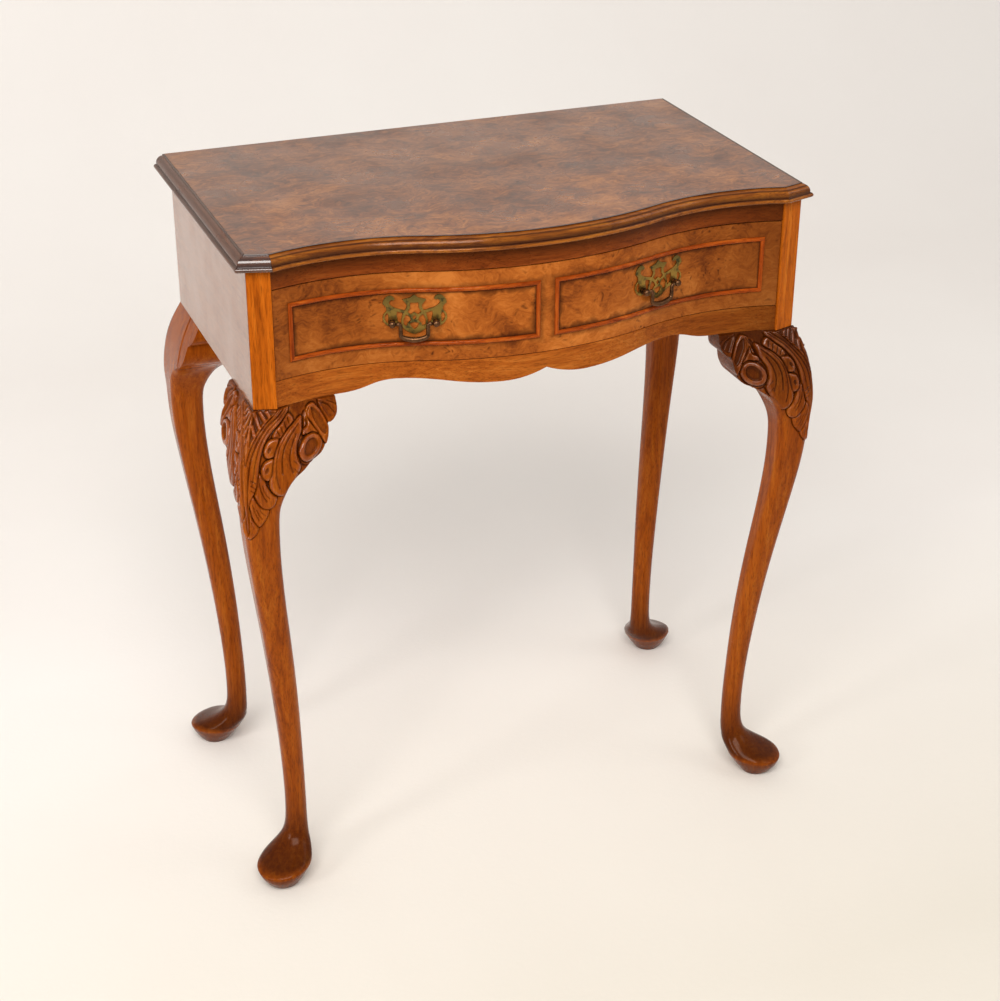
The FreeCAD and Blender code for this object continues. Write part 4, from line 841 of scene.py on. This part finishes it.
# %% Carving a face
# Painted shade on the whole knee and painted shadow close under the case, share and reach in mm, then painted
# shade per mm of depth, and at most
KNEE_SHADE, CASE_SHADOW, DEPTH_SHADE, SHADE_LIMIT = (0.32, 20, 120), (0.24, 0, 18), 0.44, 0.84
# The right knee gets more painted shade than the left
SHADE_ON_RIGHT_KNEE, RIGHT_KNEE_LIMIT = (0.5, 20, 140), 0.88
# How far a spot stands out, in mm, where rubbing begins and where it is full
RUBBED = (0.35, 1.1)
# The relief begins at the case and is full this far below it
RELIEF_START = 2.5
# Where the ear takes over from the knee, across, and how far down the knee follows the case
EAR_FROM, EAR_FULL, CASE_FADE = 40, 60, 45
# A smaller turn is on the front face, a larger one on the side, and the ridge is between them
FRONT_TURN, SIDE_TURN = 0.01, 1.56


def fading(shade_fade, drop):
    """Painted shade that fades with the drop below the case."""
    share, start, end = shade_fade
    return share * (1 - ease_in(start, end, drop))


def front_lean(a, drop):
    """The knee's front follows the case at its top, and the ear follows the hollow of the apron."""
    ear = ease_in(EAR_FROM, EAR_FULL, a)
    return CASE_LINE(a) * (ear + (1 - ear) * (1 - ease_in(0, CASE_FADE, drop)))


def carve(a, c, drop, turn):
    """Push points of the outer faces by the relief. Returns new places, how dark they are painted as shade,
    and how rubbed they are.
    """
    off_front = np.where(turn > SIDE_TURN, c + LEG_OUTER(drop), a - c)
    across = np.abs(np.where(turn < FRONT_TURN, a + LEG_OUTER(drop), off_front))
    spots = np.stack([across.ravel(), drop.ravel()], 1)
    height = relief(spots).reshape(a.shape) * ease_in(0, RELIEF_START, drop)
    below = lies_below(height)
    # Painted shade on the knee, painted shadow under the case, and painted shade in the recesses
    dark = np.clip(fading(KNEE_SHADE, drop) + fading(CASE_SHADOW, drop) + DEPTH_SHADE * below, 0, SHADE_LIMIT)
    rubbed = ease_in(*RUBBED, -below)
    tilt = LEG_OUTER(drop + 0.5) - LEG_OUTER(drop - 0.5)
    push = height / np.hypot(1, tilt)
    return a - push * np.sin(turn), c - push * np.cos(turn), drop - push * tilt, np.stack([dark, rubbed])


def with_right_knee_shade(look, drop, hand):
    """Darkness and polish with the right knee's further painted shade."""
    more = fading(SHADE_ON_RIGHT_KNEE, drop) * (hand > 0)
    return np.stack([np.clip(look[0] + more, 0, RIGHT_KNEE_LIMIT), look[1]])


print("knife ready")


# %% Skin over rings
def skin(name, rings, look):
    """A closed mesh through rings of points in mm, with darkness and polish kept on its points."""
    count, size = rings.shape[:2]
    across = np.arange(size)
    faces = [across[::-1].tolist(), ((count - 1) * size + across).tolist()]
    for row in range(count - 1):
        low, high = row * size + across, (row + 1) * size + across
        faces += np.stack([low, np.roll(low, -1), np.roll(high, -1), high], 1).tolist()
    mesh = bpy.data.meshes.new(name)
    mesh.from_pydata((rings.reshape(-1, 3) * MM).tolist(), [], faces)
    for mark, amount in zip(("recess", "rubbed"), look):
        values = amount.ravel().astype(np.float32)
        mesh.attributes.new(mark, "FLOAT", "POINT").data.foreach_set("value", values)
    sheet = bmesh.new()
    sheet.from_mesh(mesh)
    bmesh.ops.recalc_face_normals(sheet, faces=sheet.faces)
    sheet.to_mesh(mesh)
    sheet.free()
    mesh.shade_smooth()
    mesh.set_sharp_from_angle(angle=math.radians(60))
    return put(name, mesh)


def hand_over(name, node, hand, a, y, drop, look):
    """Points in from the side, at y, and down from the case become the piece that stands for a CAD node."""
    piece = skin(name, np.stack([hand * (CORNER_X - a), y, LEG_TOP - drop], -1), look)
    piece.data.materials.append(carved_wood)
    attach(piece, "table")
    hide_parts(node)


SIDES = ((-1, "left"), (1, "right"))
print("skin ready")

# %% Shape of the legs
# Fine rows down to the end of the carving, wide ones down to the ankle, and fine ones again on the foot
CARVED_TO, ANKLE, ROW_STEP, PLAIN_ROWS, FOOT_STEP = 142.0, 530, 0.55, 100, 0.8
# Darkness by drop: dark toner on the top of the foot, less at the rim, where the lighter line is a painted
# highlight
FOOT_TONER_AND_RIM_LIGHT = [(375, 0), (485, 0.12), (525, 0.43), (548, 0.7), (566, 0.8), (569.5, 0.5), (572, 0.25),
              (576, 0.5), (595, 0.65)]
fine_rows = np.arange(0, CARVED_TO, ROW_STEP)
drops = np.concatenate([fine_rows, np.linspace(CARVED_TO, ANKLE, PLAIN_ROWS),
                        np.arange(ANKLE + 1, LEG_TOP + 0.1, FOOT_STEP)])
rings = np.array([leg_ring(drop) for drop in drops])
leg_a, leg_c = rings[:, :, 0], rings[:, :, 1]
leg_drop = np.repeat(drops[:, None], rings.shape[1], 1)
leg_look = np.zeros((2,) + leg_a.shape)
leg_look[0] = np.interp(leg_drop, *zip(*FOOT_TONER_AND_RIM_LIGHT))
# From -1 at the heel to 1 at the toe
toe = -(leg_a + leg_c)
toe = np.clip((toe - toe.mean(1, keepdims=True)) / np.ptp(toe, axis=1)[:, None] * 2, -1, 1)
# The heel is filled out, so that its line runs straight down to the sole
fuller = np.interp(leg_drop, *zip(*HEEL)) * ease_in(0, 1, -toe)
leg_a, leg_c = leg_a + fuller, leg_c + fuller
# The top of the foot is scooped out between the ankle and the rim, and the rim tilts down to the toe
scoop = np.sin(math.pi * np.clip((leg_drop - INSTEP_DROP) / (RIM_DROP - INSTEP_DROP), 0, 1)) ** 2
tilted = ease_in(INSTEP_DROP, RIM_DROP, leg_drop) * (1 - ease_in(RIM_DROP, LEG_TOP, leg_drop))
lowered = TILT * np.where(toe > 0, toe, HEEL_TILT * toe) * tilted
leg_drop = leg_drop + DISH * ease_in(0, 1, toe) * scoop + lowered
print("a leg has", len(drops), "rings")

# %% Make the legs
# The back legs are the same pattern left plain, so fewer of the fine rows and of the points are enough
ROW_SKIP, POINT_SKIP = 6, 4
plain = np.ix_(np.r_[0:len(fine_rows):ROW_SKIP, len(fine_rows):len(drops)],
               np.arange(0, leg_a.shape[1], POINT_SKIP))
for hand, side in SIDES:
    hand_over("plain_leg_" + side, "leg_back_" + side, hand, leg_a[plain], BACK_Y - leg_c[plain],
              leg_drop[plain], [part[plain] for part in leg_look])
knee = np.s_[:len(fine_rows), :OUTSIDE_POINTS]
lean = rings[:, :, 3] * front_lean(leg_a, leg_drop)
leg_a[knee], leg_c[knee], leg_drop[knee], look = carve(
    leg_a[knee], leg_c[knee], leg_drop[knee], rings[:, :, 2][knee])
leg_look[:, :len(fine_rows), :OUTSIDE_POINTS] = look
leg_c = leg_c + lean
for hand, side in SIDES:
    hand_over("carved_leg_" + side, "leg_front_" + side, hand, leg_a, CORNER_Y + leg_c, leg_drop,
              with_right_knee_shade(leg_look, leg_drop, hand))
print("made four legs, the front ones with", leg_a.size, "points each")

# %% Carve the ears
# In mm from the leg's corner: across and down. The ear starts at its glue line on the leg
EAR_LINE = [(53, 60.5), (56, 58.5), (60, 57), (66, 53), (71, 46), (74.5, 38), (76, 30), (76.8, 25),
            (79, 24.8), (83, 22.5), (87, 17.5), (88.4, 11), (88.2, 5), (88, 1)]
EAR_START, EAR_TIP = 53, 87.6
EAR_COLUMNS, EAR_ROWS, EAR_ROUND = 150, 96, 1.6
edge = evenly(rounded_line(EAR_LINE), EAR_COLUMNS)
start = np.column_stack([np.linspace(EAR_START, EAR_TIP, EAR_COLUMNS), np.zeros(EAR_COLUMNS)])
length = np.hypot(*(edge - start).T)[:, None]
way = ((edge - start) / length)[:, :, None]
# The lower edge is rounded, less where the ear is short
turn_in = np.minimum(EAR_ROUND, 0.4 * length)
# Each ring: down the face, round the lower edge, and up the back
walk = np.hstack([(length - turn_in) * np.linspace(0, 1, EAR_ROWS),
                  length - turn_in + turn_in * np.sin(QUARTER[1:]), length, 0 * length])
depth = np.hstack([np.zeros((EAR_COLUMNS, EAR_ROWS)), turn_in * (1 - np.cos(QUARTER[1:]))])
along = start[:, :1] + way[:, 0] * walk
ear_drop = way[:, 1] * walk
face = np.s_[:, :EAR_ROWS + len(QUARTER) - 1]
for inward in (True, False):
    flat = np.zeros(along[face].shape)
    out = -LEG_OUTER(ear_drop)
    if inward:
        a, c, drop, look = carve(along[face], out[face], ear_drop[face], flat)
        c = c + depth + front_lean(along[face], ear_drop[face])
    else:
        a, c, drop, look = carve(out[face], along[face], ear_drop[face], flat + math.pi / 2)
        a = a + depth
    for hand, side in SIDES:
        node = "ear_front_%s_%s" % (side, "inner" if inward else "side")
        low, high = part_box(node)
        back = along[:, -2:]
        if inward:
            ear_a, ear_c = np.hstack([a, back]), np.hstack([c, 0 * back + high.y / MM - CORNER_Y])
        else:
            behind = CORNER_X - min(abs(low.x), abs(high.x)) / MM
            ear_a, ear_c = np.hstack([a, 0 * back + behind]), np.hstack([c, back])
        drop_all = np.hstack([drop, ear_drop[:, -2:]])
        look_all = np.concatenate([look, np.zeros((2, EAR_COLUMNS, 2))], axis=2)
        hand_over("carved_" + node.replace("_front", ""), node, hand, ear_a, CORNER_Y + ear_c, drop_all,
                  with_right_knee_shade(look_all, drop_all, hand))
print("carved four ears,", along.size, "points each")

# %% [markdown]
# ## Eased edges
# A cabinetmaker takes every sharp edge off with a few strokes of sandpaper, and that small round is what
# catches the light. Each visible CAD piece is copied, its triangles on one plane are joined, and its sharp
# edges are bevelled by a fraction of a millimetre. The copy then stands for the CAD node. A bail is a round
# rod, so its copy is only thickened in the grip.

# %% Finish of each piece
FINISH = {}


def dress(names, material, slot, ease=0.0):
    """Set the finish of pieces, and how far their edges are eased in mm; 0 keeps the CAD mesh. The slot is
    not used.
    """
    for name in names:
        FINISH[name] = (material, slot, ease)


def both(*names):
    """The left and the right piece of each name."""
    return [name + "_" + hand for name in names for hand in ("left", "right")]


dress(["top_panel"], burr_top, "burr_walnut_top", 0.3)
dress(["top_moulding_front"], moulding_front, "moulding_walnut", 0.5)
# The left corner moulding takes the darker, shaded copy of the finish, the right one the front's
dress(["top_moulding_corner_left"], moulding_corner, "moulding_walnut", 0.5)
dress(["top_moulding_corner_right"], moulding_front, "moulding_walnut", 0.5)
dress(both("top_moulding"), moulding_side, "moulding_walnut", 0.5)
dress(both("side_panel"), case_side, "case_walnut", 0.5)
dress(["back_panel"], carcase["x"], "carcase_wood", 0.5)
dress(both("corner_stile"), case_upright, "case_walnut", 0.7)
dress(["apron"], case_front, "case_walnut", 0.6)
dress(["top_rail"], case_top_rail, "case_walnut", 0.6)
dress(["drawer_front"], burr_front, "burr_walnut_front", 0.6)
dress(both("drawer_side"), carcase["y"], "carcase_wood", 0.6)
dress(["drawer_back", "drawer_bottom"], carcase["x"], "carcase_wood", 0.4)
for hand in ("left", "right"):
    dress(["bead_%s_top" % hand, "bead_%s_bottom" % hand], bead_level, "bead_walnut")
    dress(["bead_%s_inner" % hand, "bead_%s_outer" % hand], bead_upright, "bead_walnut")
    dress(["ear_back_%s_inner" % hand, "ear_back_%s_side" % hand], leg_wood, "leg_walnut", 0.9)
dress(both("corner_block_front", "corner_block_back"), carcase["z"], "carcase_wood", 0.5)
dress(both("drawer_runner", "drawer_guide", "kicker"), carcase["y"], "carcase_wood", 0.4)
dress(both("drawer_stop"), carcase["x"], "carcase_wood", 0.3)
dress(["leg_dowels"], carcase["z"], "carcase_wood")
dress(["top_screws", "handle_nuts"], steel, "screw_steel")
dress(both("handle_plate"), brass, "plate_brass", 0.3)
dress(both("handle_posts"), bronze, "handle_bronze")
dress(both("bail"), bronze, "handle_bronze", 0.2)
print("carved above, so not dressed here:", sorted(set(nodes) - set(FINISH)))

# %% Ease the edges
# An edge sharper than the first is bevelled, faces flatter than the second are one, and a crease stays sharp
SHARP, FLAT, CREASE = (math.radians(angle) for angle in (32, 0.4, 50))
WELD = 0.002
# How much the grip of a bail swells, and where that begins and is full as a share of its drop
GRIP_SWELL, GRIP_FROM, GRIP_FULL = 0.8, 0.45, 0.8


def swell(sheet, box):
    """The rod of a bail is thickest in the middle of its grip."""
    low, high = box
    sheet.normal_update()
    for spot in sheet.verts:
        aside = (spot.co.x - (low.x + high.x) / 2) / ((high.x - low.x) / 2)
        depth = (high.z - spot.co.z) / (high.z - low.z)
        share = float(ease_in(GRIP_FROM, GRIP_FULL, depth))
        spot.co += spot.normal * GRIP_SWELL * MM * share * max(0.0, 1 - aside ** 2)


def eased_copy(name, width):
    """A copy of a CAD node with its sharp edges rounded, as a mesh in the same place."""
    sheet = bmesh.new()
    sheet.from_mesh(nodes[name].data)
    bmesh.ops.remove_doubles(sheet, verts=sheet.verts, dist=WELD * MM)
    rod = name.startswith("bail")
    if rod:
        swell(sheet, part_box(name))
    else:
        bmesh.ops.dissolve_limit(sheet, angle_limit=FLAT, verts=sheet.verts, edges=sheet.edges)
        sharp = [e for e in sheet.edges if len(e.link_faces) == 2 and e.calc_face_angle() > SHARP]
        bmesh.ops.bevel(sheet, geom=sharp, offset=width * MM, offset_type="OFFSET", segments=2, profile=0.5,
                        affect="EDGES", clamp_overlap=True)
    mesh = bpy.data.meshes.new(name + "_eased")
    sheet.to_mesh(mesh)
    sheet.free()
    mesh.shade_smooth()
    mesh.set_sharp_from_angle(angle=CREASE)
    piece = put(name + "_eased", mesh)
    if not rod:
        flat = piece.modifiers.new("flat_faces", "WEIGHTED_NORMAL")
        flat.keep_sharp = True
    return piece


BODY_OF = {node: body for body, members in frame["record"]["behaviour"]["bodies"].items() for node in members}
for name, (material, slot, ease) in FINISH.items():
    if ease:
        piece = eased_copy(name, ease)
        piece.data.materials.append(material)
        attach(piece, BODY_OF[name])
        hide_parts(name)
    else:
        nodes[name].data.materials.clear()
        nodes[name].data.materials.append(material)
        nodes[name].data.shade_smooth()
print("eased", sum(1 for row in FINISH.values() if row[2]), "pieces")
